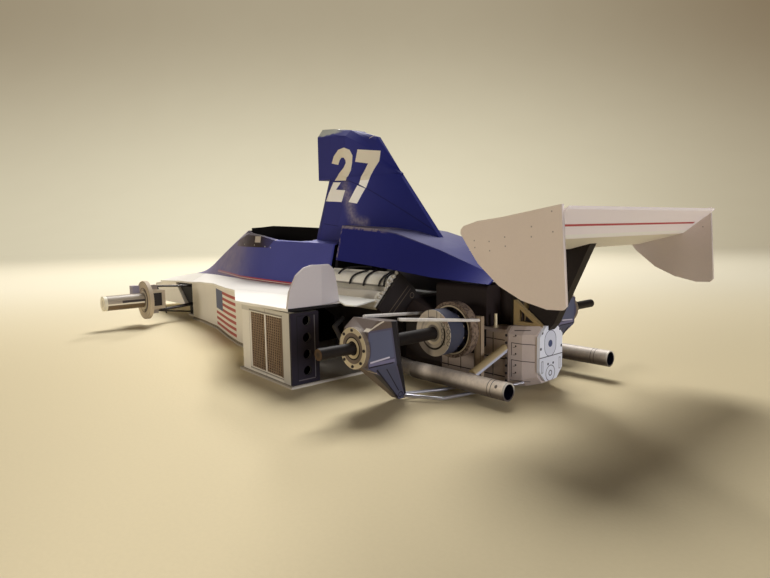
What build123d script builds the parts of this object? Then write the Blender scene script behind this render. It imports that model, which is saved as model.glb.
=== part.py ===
from build123d import *
import os

os.makedirs("parts", exist_ok=True)

# Sizes in mm. X is counted forward from the rear axle, Y to the car's left, Z up from the floor.
# Each piece is moved at export so that the origin lies under the middle of the car.
WHEELBASE = 105.8
NOSE_REACH = 44.2
NOSE_TIP = WHEELBASE + NOSE_REACH
WING_REAR = -30.4
MIDDLE = (NOSE_TIP + WING_REAR) / 2
CARD = 0.5
SEAT = 0.3
RUN = 0.05

# Rear axle: a wooden stick with a bare outer end, in a black card tube from the brake to the flange.
REAR_Z = 9.75
REAR_TIP = 37.2
ROD_R = 0.87
SHAFT_R = 1.05
SHAFT_START = 9.5
FLANGE_R = 3.15
FLANGE_T = 1.0
TUBE_END = 31.0
LINK_FOOT = 9.6

# Front axle: a card sleeve outside the disc on a thin spigot that runs in the upright.
FRONT_Z = 7.45
FRONT_TIP = 36.3
SLEEVE_R = 2.1
SPIGOT_R = 1.0
DISC_R = 5.55
DISC_T = 1.1
UPRIGHT_Y = (19.4, 23.9)
UPRIGHT_HALF_H = 2.7
DISC_Y = UPRIGHT_Y[1] + 0.1
ARM_END_Y = 22.2

# Floor, bulkhead behind the seat, and the rear face of the side pods.
FLOOR_T = 0.5
BAY_REAR = 17.3
BULKHEAD_X = 35.3
BULKHEAD_T = 0.8
POD_T = 0.6
POD_HEIGHT = 12.6
POD_OUTER = 30.8
POD_DEPTH = 5.8
POD_TAPER = 0.9
POD_FRAME = 1.3
MESH_RECESS = 0.3
FENCE_RISE = 7.2

HEAD_END = 13.9
HEAD_T = 0.7
CAM_LENGTH = 20.0
GEAR_HALF = 4.2
GEAR_TOP = 9.9
GEAR_END = -13.9
FLANGE_X = -8.5
WING_HALF = 22.8
PYLON_T = 1.9
TRUSS_T = 0.8
EXHAUST_R = 1.45
EXHAUST_WALL = 0.3
EXHAUST_Y = 13.0
EXHAUST_START = 5.2
WIRE_R = 0.28

SIDES = (("left", 1), ("right", -1))


def save(part, name):
    part = part.moved(Location((-MIDDLE, 0, 0)))
    part.label = name
    export_step(part, f"parts/{name}.step")


def rod(start, end, radius):
    start, end = Vector(*start), Vector(*end)
    with Locations(Plane(origin=start, z_dir=end - start)):
        Cylinder(radius, (end - start).length, align=(Align.CENTER, Align.CENTER, Align.MIN))


def wire(points, radius=WIRE_R):
    for start, end in zip(points, points[1:]):
        rod(start, end, radius)
    for point in points[1:-1]:
        with Locations(point):
            Sphere(radius)


def outline(plane, points, shrink=0):
    """Flat face with straight edges, kept apart from the part being built."""
    with BuildSketch(plane, mode=Mode.PRIVATE) as flat:
        with BuildLine():
            Polyline(*points, close=True)
        make_face()
        if shrink:
            offset(amount=-shrink, kind=Kind.INTERSECTION, mode=Mode.REPLACE)
    return flat.sketch


def plate_x(points, x, thickness, mode=Mode.ADD):
    extrude(outline(Plane.YZ.offset(x), points), amount=thickness, mode=mode)


def plate_y(points, y, thickness, mode=Mode.ADD):
    extrude(outline(Plane.XZ.offset(-y), points), amount=-thickness, mode=mode)


def plate_z(points, z, thickness, mode=Mode.ADD, shrink=0):
    extrude(outline(Plane.XY.offset(z), points, shrink), amount=thickness, mode=mode)


def disc(plane, y, thickness, radius, mode=Mode.ADD):
    """Round plate on an axle line, y counted outwards from the middle of the car."""
    with BuildSketch(plane.offset(y), mode=Mode.PRIVATE) as flat:
        Circle(radius)
    extrude(flat.sketch, amount=thickness, mode=mode)


def stations(rows):
    """Ruled solid through polygons: each row is x and its (y, z) corners."""
    loft([outline(Plane.YZ.offset(x), points) for x, points in rows], ruled=True)


def mirrored(half):
    """A half outline and its mirror image in the car's middle plane."""
    return [*half, *[(x, -y) for x, y in reversed(half) if y]]


def both_sides(half):
    """A half cross section, counted from the bottom up, and its mirror image."""
    return [*half, *[(-y, z) for y, z in reversed(half)]]


def sided(s, points):
    """Plan points of one side of the car."""
    return [(x, s * y) for x, y in points]


def cut_away(*pieces):
    for piece in pieces:
        add(piece.part, mode=Mode.SUBTRACT)


# Body shape along the car: station, side skin, deck edge, deck edge height, cowl foot, foot height.
BODY = (
    dict(x=WHEELBASE + 0.9, side=10.0, edge=10.6, edge_z=11.6, foot=5.3, foot_z=13.9),
    dict(x=WHEELBASE - 8.8, side=10.8, edge=11.5, edge_z=12.3, foot=6.3, foot_z=14.1),
    dict(x=WHEELBASE - 21.8, side=12.8, edge=13.4, edge_z=12.8, foot=7.6, foot_z=14.1),
    dict(x=WHEELBASE - 37.8, side=17.2, edge=17.8, edge_z=13.1, foot=8.8, foot_z=14.1),
    dict(x=WHEELBASE - 46.3, side=19.2, edge=19.6, edge_z=13.3, foot=9.3, foot_z=14.1),
    dict(x=BULKHEAD_X + 2.3, side=22.2, edge=30.6, edge_z=13.7, foot=9.8, foot_z=14.2),
)
BESIDE_ENGINE = (
    dict(x=BULKHEAD_X + 0.5, edge=30.65, edge_z=13.7, foot=9.9, foot_z=14.2),
    dict(x=BULKHEAD_X - 0.1, edge=30.7, edge_z=13.7, foot=15.7, foot_z=14.2),
    dict(x=BAY_REAR, edge=31.2, edge_z=14.0, foot=15.7, foot_z=13.9),
)


def deck_z(row, y):
    """Height of the deck's top over one station."""
    share = (row["edge"] - y) / (row["edge"] - row["foot"])
    return row["edge_z"] + share * (row["foot_z"] - row["edge_z"])


with BuildPart() as floor_pan:
    plate_z(mirrored([(WHEELBASE + 11.2, 7.2), (WHEELBASE + 1.2, 8.2),
                      *[(row["x"], row["side"] + SEAT) for row in BODY[:-1]],
                      (BULKHEAD_X + 2.0, BODY[-1]["side"] + SEAT), (BULKHEAD_X + 2.0, 30.3),
                      (BAY_REAR - 0.4, 31.2), (BAY_REAR - 0.4, 8.5)]), 0, FLOOR_T)
save(floor_pan.part, "floor_pan")

for side, s in SIDES:
    with BuildPart() as side_skin:
        rows = []
        for row in BODY:
            y, top = row["side"], deck_z(row, row["side"]) - CARD - 0.1
            lean = deck_z(row, row["side"] - CARD) - deck_z(row, row["side"])
            rows.append((row["x"], [(s * y, FLOOR_T), (s * y, top), (s * (y - CARD), top + lean),
                                    (s * (y - CARD), FLOOR_T)]))
        stations(rows)
    save(side_skin.part, f"side_{side}")

    with BuildPart() as deck:
        rows = []
        for row in BODY + BESIDE_ENGINE:
            lip, foot, edge = row["foot"] - 0.9, row["foot"], row["edge"]
            top = [(lip, row["foot_z"]), (foot, row["foot_z"]), (edge, row["edge_z"])]
            under = [(y, z - CARD) for y, z in reversed(top)]
            rows.append((row["x"], [(s * y, z) for y, z in top + under]))
        stations(rows)
    save(deck.part, f"deck_{side}")

# Nose: station, half width, edge height, half width and height of the flat crown, underside.
NOSE = (
    dict(x=WHEELBASE + 11.2, half=8.3, edge=11.2, flat=4.3, crown=13.0, low=3.4),
    dict(x=WHEELBASE + 33.7, half=6.9, edge=9.4, flat=2.5, crown=10.2, low=2.9),
    dict(x=WHEELBASE + 41.2, half=6.4, edge=8.7, flat=2.5, crown=9.2, low=2.6),
    dict(x=NOSE_TIP, half=6.1, edge=4.6, flat=2.5, crown=4.8, low=2.4),
)
NOSE_DECK = (
    dict(x=WHEELBASE + 1.2, half=10.6, edge=11.6, flat=5.3, crown=13.8),
    dict(x=WHEELBASE + 11.2, half=9.7, edge=11.3, flat=4.3, crown=13.5),
    dict(x=WHEELBASE + 33.7, half=7.5, edge=10.0, flat=2.5, crown=10.9),
)


def crowned(r):
    """Upper corners of a nose section, left to right."""
    left = [(r["half"], r["edge"]), (r["flat"], r["crown"])]
    return left + [(-y, z) for y, z in reversed(left)]


with BuildPart() as nose:
    stations([(r["x"], [(r["half"], r["low"]), *crowned(r), (-r["half"], r["low"])]) for r in NOSE])
    plate_y(((WHEELBASE + 4.2, 0), (WHEELBASE + 9.0, 2), (WHEELBASE + 20.4, 11.2), (WHEELBASE + 20.4, 20),
             (WHEELBASE + 4.2, 20)), -20, 40, Mode.SUBTRACT)
save(nose.part, "nose")

with BuildPart() as nose_deck:
    stations([(r["x"], crowned(r) + [(y, z - CARD) for y, z in reversed(crowned(r))]) for r in NOSE_DECK])
save(nose_deck.part, "nose_deck")

TUB_HALF = 7.2
with BuildPart() as tub_front:
    plate_y(((WHEELBASE - 7.3, FLOOR_T), (WHEELBASE - 7.3, 11.6), (WHEELBASE + 1.2, 11.6),
             (WHEELBASE + 18.7, 10.3), (WHEELBASE + 9.9, 3.1), (WHEELBASE + 9.9, FLOOR_T)),
            -TUB_HALF, 2 * TUB_HALF)
save(tub_front.part, "tub_front")

# Cowl: station, foot and shoulder (half width and height), then the crown's flat half width and height.
COWL = (
    dict(x=WHEELBASE + 11.4, foot=4.0, top=1.0, flat=0.5, foot_z=13.5, top_z=13.6, crown=13.7),
    dict(x=WHEELBASE + 0.8, foot=5.3, top=2.9, flat=0.8, foot_z=13.9, top_z=16.3, crown=17.9),
    dict(x=WHEELBASE - 8.8, foot=6.3, top=3.7, flat=0.9, foot_z=14.1, top_z=20.1, crown=22.5),
    dict(x=WHEELBASE - 19.3, foot=7.4, top=4.2, flat=0.9, foot_z=14.1, top_z=24.3, crown=27.1),
    dict(x=WHEELBASE - 28.8, foot=8.2, top=6.2, flat=4.4, foot_z=14.1, top_z=26.0, crown=27.2),
    dict(x=WHEELBASE - 37.8, foot=8.8, top=7.0, flat=3.9, foot_z=14.1, top_z=25.6, crown=26.6),
    dict(x=WHEELBASE - 46.3, foot=9.3, top=7.5, flat=4.1, foot_z=14.1, top_z=24.5, crown=25.3),
    dict(x=BULKHEAD_X + 10.7, foot=9.6, top=7.6, flat=4.2, foot_z=14.2, top_z=24.3, crown=25.0),
    dict(x=BULKHEAD_X + 1.0, foot=9.8, top=7.4, flat=4.2, foot_z=14.2, top_z=24.0, crown=24.8),
)
# Cockpit opening in plan.
OPENING = mirrored([(WHEELBASE - 19.4, 0.0), (WHEELBASE - 21.3, 2.6), (WHEELBASE - 25.8, 4.4),
                    (WHEELBASE - 31.8, 5.6), (WHEELBASE - 39.8, 6.5), (BULKHEAD_X + 14.7, 6.9),
                    (BULKHEAD_X + 11.2, 6.0)])
LINER_GAP = 0.35
# Side view of the liner's rim, near side and far side.
RIMS = (
    (-10, [(WHEELBASE - 17.8, 27.6), (WHEELBASE - 25.8, 28.3), (WHEELBASE - 43.8, 27.6),
           (BULKHEAD_X + 8.7, 26.9)]),
    (0, [(WHEELBASE - 17.8, 26.4), (WHEELBASE - 29.8, 26.2), (WHEELBASE - 37.8, 25.3),
         (WHEELBASE - 46.3, 24.4), (BULKHEAD_X + 8.7, 24.2)]),
)


def cowl_section(r, wall):
    """Corners of one cowl section, drawn in by the wall."""
    return [(r["foot"] - wall, r["foot_z"] - wall * 2), (r["foot"] - wall, r["foot_z"]),
            (r["top"] - wall * 0.9, r["top_z"] - wall * 0.5), (r["flat"], r["crown"] - wall),
            (-r["flat"], r["crown"] - wall), (-r["top"] + wall * 0.9, r["top_z"] - wall * 0.5),
            (-r["foot"] + wall, r["foot_z"]), (-r["foot"] + wall, r["foot_z"] - wall * 2)]


with BuildPart() as cowl:
    stations([(r["x"], cowl_section(r, 0)[1:-1]) for r in COWL])
    with BuildPart(mode=Mode.PRIVATE) as cowl_core:
        stations([(r["x"], cowl_section(r, CARD)) for r in COWL])
    cut_away(cowl_core)
    plate_z(OPENING, 20, 12, Mode.SUBTRACT)
save(cowl.part, "cowl")

with BuildPart() as cockpit_liner:
    plate_z(OPENING, FLOOR_T, 30, shrink=LINER_GAP)
    plate_z(OPENING, FLOOR_T, 30, Mode.SUBTRACT, shrink=LINER_GAP + CARD)
    for y, rim in RIMS:
        plate_y([*rim, (rim[-1][0], 32), (rim[0][0], 32)], y, 10, Mode.SUBTRACT)
save(cockpit_liner.part, "cockpit_liner")

SEAT_HALF = 4.6
with BuildPart() as seat:
    plate_y(((BULKHEAD_X + 15.2, FLOOR_T), (BULKHEAD_X + 37.7, FLOOR_T), (BULKHEAD_X + 37.7, 1.6),
             (BULKHEAD_X + 22.7, 2.6), (BULKHEAD_X + 16.5, 22.5), (BULKHEAD_X + 13.7, 22.5)),
            -SEAT_HALF, 2 * SEAT_HALF)
save(seat.part, "seat")

with BuildPart() as bulkhead:
    plate_x(both_sides([(7.2, FLOOR_T), (8.2, 14.0), (6.4, 23.2)]), BULKHEAD_X, BULKHEAD_T)
save(bulkhead.part, "bulkhead")

# Engine cover: station, half width and height of the shoulder and of the lower edge, crown height.
COVER = (
    dict(x=BULKHEAD_X - SEAT, top=5.8, top_z=28.0, low=7.8, low_z=20.6, crown=28.3),
    dict(x=21.8, top=7.0, top_z=27.2, low=8.7, low_z=19.9, crown=27.5),
    dict(x=16.0, top=7.2, top_z=26.4, low=9.1, low_z=19.5, crown=26.7),
    dict(x=4.3, top=7.5, top_z=23.4, low=9.7, low_z=18.6, crown=23.7),
    dict(x=-8.6, top=7.8, top_z=19.4, low=10.0, low_z=18.2, crown=19.7),
)


def cover_section(r, wall):
    """Corners of one section of the engine cover, drawn in by the wall."""
    return [(r["low"] - wall, r["low_z"] - wall), (r["low"] - wall, r["low_z"]),
            (r["top"] - wall, r["top_z"] - wall * 0.6), (0, r["crown"] - wall),
            (-r["top"] + wall, r["top_z"] - wall * 0.6),
            (-r["low"] + wall, r["low_z"]), (-r["low"] + wall, r["low_z"] - wall)]


with BuildPart() as engine_cover:
    stations([(r["x"], cover_section(r, 0)[1:-1]) for r in COVER])
    with BuildPart(mode=Mode.PRIVATE) as cover_core:
        stations([(r["x"], cover_section(r, CARD)) for r in
                  (dict(COVER[0], x=COVER[0]["x"] + 1), *COVER[1:-1], dict(COVER[-1], x=COVER[-1]["x"] - 1))])
    cut_away(cover_core)
save(engine_cover.part, "engine_cover")


def leaf(z, front, nose_r, half, rear, tail):
    """Plan of the fin at one height: round front, straight flanks, thin tail."""
    back = front - nose_r
    with BuildSketch(Plane.XY.offset(z), mode=Mode.PRIVATE) as plan:
        with BuildLine():
            ThreePointArc((back, -half), (front, 0), (back, half))
            Polyline((back, half), (back - 6, half * 0.96), (rear, tail), (rear, -tail),
                     (back - 6, -half * 0.96), (back, -half))
        make_face()
    return plan.sketch


# Fin, and the air intake that overhangs its front: station, half width below and at the shoulder,
# shoulder height, half width and height of the rounded top.
INTAKE_LOW = 38.4
INTAKE = (
    dict(x=45.5, low=4.3, half=4.3, shoulder=48.2, flat=2.8, crown=50.1),
    dict(x=41.0, low=4.3, half=4.2, shoulder=48.0, flat=2.6, crown=49.7),
    dict(x=36.0, low=4.25, half=3.6, shoulder=47.5, flat=1.9, crown=48.9),
    dict(x=28.9, low=2.6, half=0.9, shoulder=46.0, flat=0.4, crown=46.7),
    dict(x=21.9, low=0.5, half=0.45, shoulder=38.5, flat=0.4, crown=38.6),
)
with BuildPart() as airbox:
    loft([leaf(22.0, 50.6, 4.6, 5.2, 8.0, 0.6), leaf(INTAKE_LOW + 0.1, 44.1, 4.0, 4.4, 22.1, 0.5)],
         ruled=True)
    stations([(r["x"], both_sides([(r["low"], INTAKE_LOW), (r["half"], r["shoulder"]),
                                   (r["flat"], r["crown"])])) for r in INTAKE])
    with BuildSketch(Plane.YZ.offset(40.5)):
        with Locations((0, 43.9)):
            RectangleRounded(7.0, 9.0, 2.4)
    extrude(amount=10, mode=Mode.SUBTRACT)
    with BuildPart(mode=Mode.PRIVATE) as under:
        stations([(r["x"], [(11, 10), (11, 15), *cover_section(r, 0)[2:5], (-11, 15), (-11, 10)])
                  for r in (dict(COVER[0], x=COVER[0]["x"] + 1.2), *COVER)])
        stations([(r["x"], cowl_section(r, 0)[1:-1]) for r in COWL[4:]])
    cut_away(under)
    plate_z(OPENING, 20, 7.8, Mode.SUBTRACT)
save(airbox.part, "airbox")

# Side pod box: four round holes in its rear face and two mesh panels let into its outer face.
POD_FRONT = BULKHEAD_X + 1.1
HOLES_Z = (2.7, 5.6, 8.6, 11.6)
MESH_X = ((21.0, 26.6), (27.0, 32.6))
MESH_Z = (1.4, 12.0)


def pod_side(x, inwards):
    """Point of the pod's tapered outer face, or of a line parallel to it."""
    return x, POD_OUTER - POD_TAPER * (x - BAY_REAR) / (POD_FRONT - BAY_REAR) - inwards


for side, s in SIDES:
    with BuildPart() as radiator:
        inner = POD_OUTER - POD_DEPTH
        rear, front = BAY_REAR + POD_T, POD_FRONT - POD_T
        plate_z(sided(s, [(BAY_REAR, inner), (POD_FRONT, inner), pod_side(POD_FRONT, 0),
                          pod_side(BAY_REAR, 0)]),
                FLOOR_T, POD_HEIGHT)
        plate_z(sided(s, [(rear, inner + POD_T), (front, inner + POD_T), pod_side(front, POD_FRAME),
                          pod_side(rear, POD_FRAME)]),
                FLOOR_T + POD_T, POD_HEIGHT - 2 * POD_T, Mode.SUBTRACT)
        with BuildSketch(Plane.YZ.offset(BAY_REAR - 1)):
            with Locations(*[(s * (POD_OUTER - 3.3), z) for z in HOLES_Z]):
                Circle(0.85)
        extrude(amount=2, mode=Mode.SUBTRACT)
        for a, b in MESH_X:
            plate_z(sided(s, [pod_side(a, MESH_RECESS), pod_side(b, MESH_RECESS), pod_side(b, -1),
                              pod_side(a, -1)]),
                    MESH_Z[0], MESH_Z[1] - MESH_Z[0], Mode.SUBTRACT)
    save(radiator.part, f"radiator_{side}")

    # The fence is a card tab above the pod's rear face, folded forward at its inner end.
    with BuildPart() as fence:
        plate_z(sided(s, [(BAY_REAR + 0.1, 31.2), (BAY_REAR + 0.1, 24.0), (BAY_REAR + 1.7, 19.0),
                          (BAY_REAR + 2.2, 19.15), (BAY_REAR + 0.1 + CARD, 24.1),
                          (BAY_REAR + 0.1 + CARD, 31.2)]), 14.0, FENCE_RISE + 1)
        plate_x([(s * y, z) for y, z in ((31.2, 14.0), (30.7, 16.9), (29.2, 19.6), (27.6, 20.8),
                                         (26.0, 14.0 + FENCE_RISE), (21.8, 13.9 + FENCE_RISE), (20.5, 20.2),
                                         (19.8, 18.1), (19.0, 14.0))], BAY_REAR - 2, 6, Mode.INTERSECT)
    save(fence.part, f"fence_{side}")

# V8 engine: half outline of the block seen from behind, and of one cylinder head's rear plate.
BLOCK = [(5.0, 0.7), (6.4, 6.8), (13.4, 12.2), (7.7, 18.3), (3.2, 14.2)]
HEAD = [(14.0, 12.6), (8.2, 18.9), (4.2, 15.2), (9.9, 9.2)]
with BuildPart() as engine_block:
    plate_x(both_sides(BLOCK), HEAD_END, BULKHEAD_X - SEAT - HEAD_END)
    for side, s in SIDES:
        plate_x([(s * y, z) for y, z in HEAD], HEAD_END, HEAD_T)
save(engine_block.part, "engine_block")

for side, s in SIDES:
    with BuildPart() as cam_cover:
        bank = Plane(origin=(HEAD_END + HEAD_T + 0.2, s * 10.55, 15.25), x_dir=(0, s * 0.683, -0.731),
                     z_dir=(1, 0, 0))
        with BuildSketch(bank):
            for across in (-2.1, 2.1):
                with Locations((across, 0.1 * s)):
                    Circle(1.7)
            with Locations((0, 0.45 * s)):
                Rectangle(8.4, 0.9)
        extrude(amount=CAM_LENGTH)
        cut_away(engine_block)
    save(cam_cover.part, f"cam_cover_{side}")


def case(half, low, high, cut):
    """Upright box section with its corners cut off."""
    return [(half - cut, low), (half, low + cut), (half, high - cut), (half - cut, high),
            (-half + cut, high), (-half, high - cut), (-half, low + cut), (-half + cut, low)]


with BuildPart() as bellhousing:
    stations([(HEAD_END - SEAT, case(7.2, 0.9, 13.6, 2.0)), (7.0, case(4.6, 0.8, 10.4, 1.4))])
save(bellhousing.part, "bellhousing")

with BuildPart() as gearbox_case:
    plate_x(case(GEAR_HALF, 0.4, GEAR_TOP, 0.5), FLANGE_X + 0.6, 7.0 - FLANGE_X - 0.6)
    plate_x(case(GEAR_HALF + 0.35, 0.2, GEAR_TOP + 0.75, 1.0), FLANGE_X, 0.6)
save(gearbox_case.part, "gearbox_case")

with BuildPart() as gearbox_rear:
    stations([(FLANGE_X, case(GEAR_HALF + 0.1, 0.3, GEAR_TOP + 0.7, 1.2)),
              (FLANGE_X - 2.5, case(GEAR_HALF - 0.1, 0.7, GEAR_TOP + 0.9, 1.3)),
              (GEAR_END + 0.6, case(GEAR_HALF - 1.1, 1.4, GEAR_TOP + 1.1, 1.3))])
    plate_x(case(GEAR_HALF - 0.9, 1.8, GEAR_TOP + 1.1, 1.7), GEAR_END, 0.6)
save(gearbox_rear.part, "gearbox_rear")

PIN_X, PIN_Y = -4.7, 3.0
with BuildPart() as breather_pin:
    with Locations((PIN_X, PIN_Y, GEAR_TOP)):
        Cone(0.32, 0.27, 2.45, align=(Align.CENTER, Align.CENTER, Align.MIN))
        Cylinder(0.45, 0.35, align=(Align.CENTER, Align.CENTER, Align.MIN))
save(breather_pin.part, "breather_pin")

with BuildPart() as oil_tank:
    with Locations((1.6, 0, GEAR_TOP)):
        Box(14.4, 7.4, 7.2, align=(Align.CENTER, Align.CENTER, Align.MIN))
    with Locations((PIN_X, PIN_Y, GEAR_TOP)):
        Box(3.0, 6.4, 10, align=(Align.CENTER, Align.CENTER, Align.MIN), mode=Mode.SUBTRACT)
    fillet(oil_tank.edges().filter_by(Axis.X), 0.9)
    cut_away(bellhousing)
save(oil_tank.part, "oil_tank")

# Wing section, from its leading edge along the underside to the raised tail and back over the top.
WING = ((-15.2, 24.3), (-17.6, 23.7), (-25.3, 25.7), (WING_REAR + 0.35, 29.4), (WING_REAR + 0.1, 29.8),
        (-25.0, 26.7), (-18.0, 25.2), (-15.6, 24.9))
ENDPLATE = [(-14.0, 27.0), (WING_REAR + 0.8, 30.0), (WING_REAR, 18.0), (WING_REAR + 0.5, 17.4), (-27.9, 17.3),
            (-25.4, 17.5), (-22.7, 18.4), (-19.2, 20.1), (-16.6, 22.5), (-14.3, 26.0)]
with BuildPart() as wing_plane:
    plate_y(WING, -(WING_HALF - CARD), 2 * (WING_HALF - CARD))
save(wing_plane.part, "wing_plane")

for side, s in SIDES:
    with BuildPart() as wing_endplate:
        plate_y(ENDPLATE, s * WING_HALF, -s * CARD)
    save(wing_endplate.part, f"wing_endplate_{side}")

with BuildPart() as wing_pylon:
    plate_y(((-8.9, GEAR_TOP), (-13.6, GEAR_TOP), (-14.9, 11.4), (-21.4, 25.4), (-13.6, 25.4)),
            -PYLON_T / 2, PYLON_T)
    plate_y((WING[1], WING[2], (-25.3, 30), (-10, 30), WING[0]), -5, 10, Mode.SUBTRACT)
    cut_away(gearbox_rear)
save(wing_pylon.part, "wing_pylon")

# Two truss plates clasp the pylon's foot.
with BuildPart() as pylon_truss:
    for y in (PYLON_T / 2 + 0.2, -PYLON_T / 2 - 0.2 - TRUSS_T):
        plate_y(((-7.7, GEAR_TOP), (-13.4, GEAR_TOP), (-13.4, 10.9), (-8.0, 14.9), (-7.7, 14.9)), y, TRUSS_T)
        plate_y(((-8.7, 11.3), (-11.8, 11.3), (-8.9, 13.4)), y, TRUSS_T, Mode.SUBTRACT)
    cut_away(gearbox_case, gearbox_rear)
save(pylon_truss.part, "pylon_truss")

# Inboard brake, from the gearbox outwards: stub, backing plate, spoked ring, drum and caliper.
BRAKE = (
    dict(start=GEAR_HALF, end=6.9, radius=2.2),
    dict(start=6.9, end=7.7, radius=3.0),
    dict(start=7.7, end=9.5, radius=4.9),
    dict(start=9.5, end=11.2, radius=3.2),
    dict(start=11.2, end=13.8, radius=3.95),
)
RING = BRAKE[2]
WINDOW_R = 3.6
POST_X = -4.7
POST_Z = (2.0, 12.4)

# Rear corners: the right upright was glued nearer to the gearbox than the left one.
CORNERS = (
    dict(side="left", s=1, face=31.0, link_x=-1.0),
    dict(side="right", s=-1, face=26.6, link_x=-2.2),
)
UPRIGHT_PROFILE = ((0.7, 12.4), (2.6, 13.9), (8.7, 13.0), (8.3, 7.0), (10.2, 1.6), (9.8, 0.4), (8.5, 0.4),
                   (3.4, 5.4), (0.7, 7.0))
UPRIGHT_SHAPE = [(-2.9, 14.5), (-2.7, 6.6), (-0.8, 0.2), (0.8, 0.2), (2.9, 6.6), (2.9, 14.5)]
for corner in CORNERS:
    side, s, face = corner["side"], corner["s"], corner["face"]
    turn = Plane(origin=(0, 0, REAR_Z), x_dir=(1, 0, 0), z_dir=(0, s, 0))
    with BuildPart() as rear_brake:
        for step in BRAKE:
            disc(turn, step["start"], step["end"] - step["start"], step["radius"])
        with Locations((POST_X, s * (RING["start"] - 0.3), sum(POST_Z) / 2)):
            Box(1.4, 0.8, POST_Z[1] - POST_Z[0])
        with BuildSketch(turn.offset(RING["start"] - 1)):
            with PolarLocations(WINDOW_R, 10, 18):
                SlotCenterToCenter(1.0, 0.7, rotation=90)
        extrude(amount=RING["end"] - RING["start"] + 1, mode=Mode.SUBTRACT)
        disc(turn, SHAFT_START - SEAT, 6, SHAFT_R + RUN, Mode.SUBTRACT)
    save(rear_brake.part, f"rear_brake_{side}")

    with BuildPart() as rear_upright:
        plate_x([(s * (face - inwards), z) for inwards, z in UPRIGHT_PROFILE], -4, 8)
        plate_y(UPRIGHT_SHAPE, -40, 80, Mode.INTERSECT)
        disc(turn, face - FLANGE_T, FLANGE_T, FLANGE_R)
        disc(turn, face - 12, 15, SHAFT_R + RUN, Mode.SUBTRACT)
    save(rear_upright.part, f"rear_upright_{side}")

    with BuildPart() as rear_shaft:
        disc(turn, SHAFT_START, TUBE_END - SHAFT_START, SHAFT_R)
        disc(turn, TUBE_END, REAR_TIP - TUBE_END, ROD_R)
    save(rear_shaft.part, f"rear_shaft_{side}")

    with BuildPart() as rear_upper_links:
        wire([(2.0, s * (face - 4.0), 13.9), (9.0, s * 8.0, 11.6), (9.6, s * 5.0, 11.0)])
        wire([(corner["link_x"], s * (face - 8.4), 13.2), (POST_X - 0.3, s * (RING["start"] - 0.4), 11.7)])
        cut_away(rear_upright, bellhousing, gearbox_case, oil_tank, rear_brake)
    save(rear_upper_links.part, f"rear_upper_links_{side}")

    with BuildPart() as rear_lower_links:
        foot = face - LINK_FOOT
        wire([(-0.2, s * foot, 0.9), (-2.7, s * (foot - 7.7), 0.65), (-4.6, s * (GEAR_HALF - 0.4), 0.75)])
        wire([(-0.6, s * (foot + 0.2), 0.8), (-5.9, s * (foot - 3.4), 0.62), (-7.0, s * (foot - 7.9), 0.65),
              (-11.0, s * (GEAR_HALF - 0.6), 1.4)])
        cut_away(rear_upright, gearbox_case, gearbox_rear)
    save(rear_lower_links.part, f"rear_lower_links_{side}")

# The two pipes were glued on at slightly different heights and lengths.
PIPES = (
    dict(side="left", s=1, z=2.5, tip=-15.0),
    dict(side="right", s=-1, z=3.8, tip=-17.5),
)
PORTS_X = (17.0, 21.5, 26.0, 30.5)
for pipe in PIPES:
    side, s, z = pipe["side"], pipe["s"], pipe["z"]
    with BuildPart() as exhaust:
        rod((EXHAUST_START, s * EXHAUST_Y, z), (pipe["tip"], s * EXHAUST_Y, z), EXHAUST_R)
        with BuildSketch(Plane.YZ.offset(pipe["tip"])):
            with Locations((s * EXHAUST_Y, z)):
                Circle(EXHAUST_R - EXHAUST_WALL)
        extrude(amount=12, mode=Mode.SUBTRACT)
    save(exhaust.part, f"exhaust_{side}")

    with BuildPart() as manifold:
        rod((EXHAUST_START, s * EXHAUST_Y, z), (HEAD_END + 0.1, s * (EXHAUST_Y - 0.6), z + 0.6),
            EXHAUST_R - 0.15)
        for i, x in enumerate(PORTS_X):
            wire([(x, s * 9.6, 8.6), (x - 1, s * (EXHAUST_Y - 0.4), 7.2),
                  (x - 4.2, s * (EXHAUST_Y - 0.2 - 0.2 * i), z + 1.6 - 0.3 * i),
                  (HEAD_END - 0.9, s * (EXHAUST_Y - 0.4 - 0.35 * i), z + 0.9 - 0.45 * i)], 0.5)
        cut_away(engine_block, exhaust)
    save(manifold.part, f"manifold_{side}")

    with BuildPart() as exhaust_hanger:
        rod((FLANGE_X + 0.8, s * GEAR_HALF, 6.9), (FLANGE_X + 1.4, s * (EXHAUST_Y - 1.0), z + 1.2), 0.75)
        cut_away(gearbox_case, exhaust)
    save(exhaust_hanger.part, f"exhaust_hanger_{side}")

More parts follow.
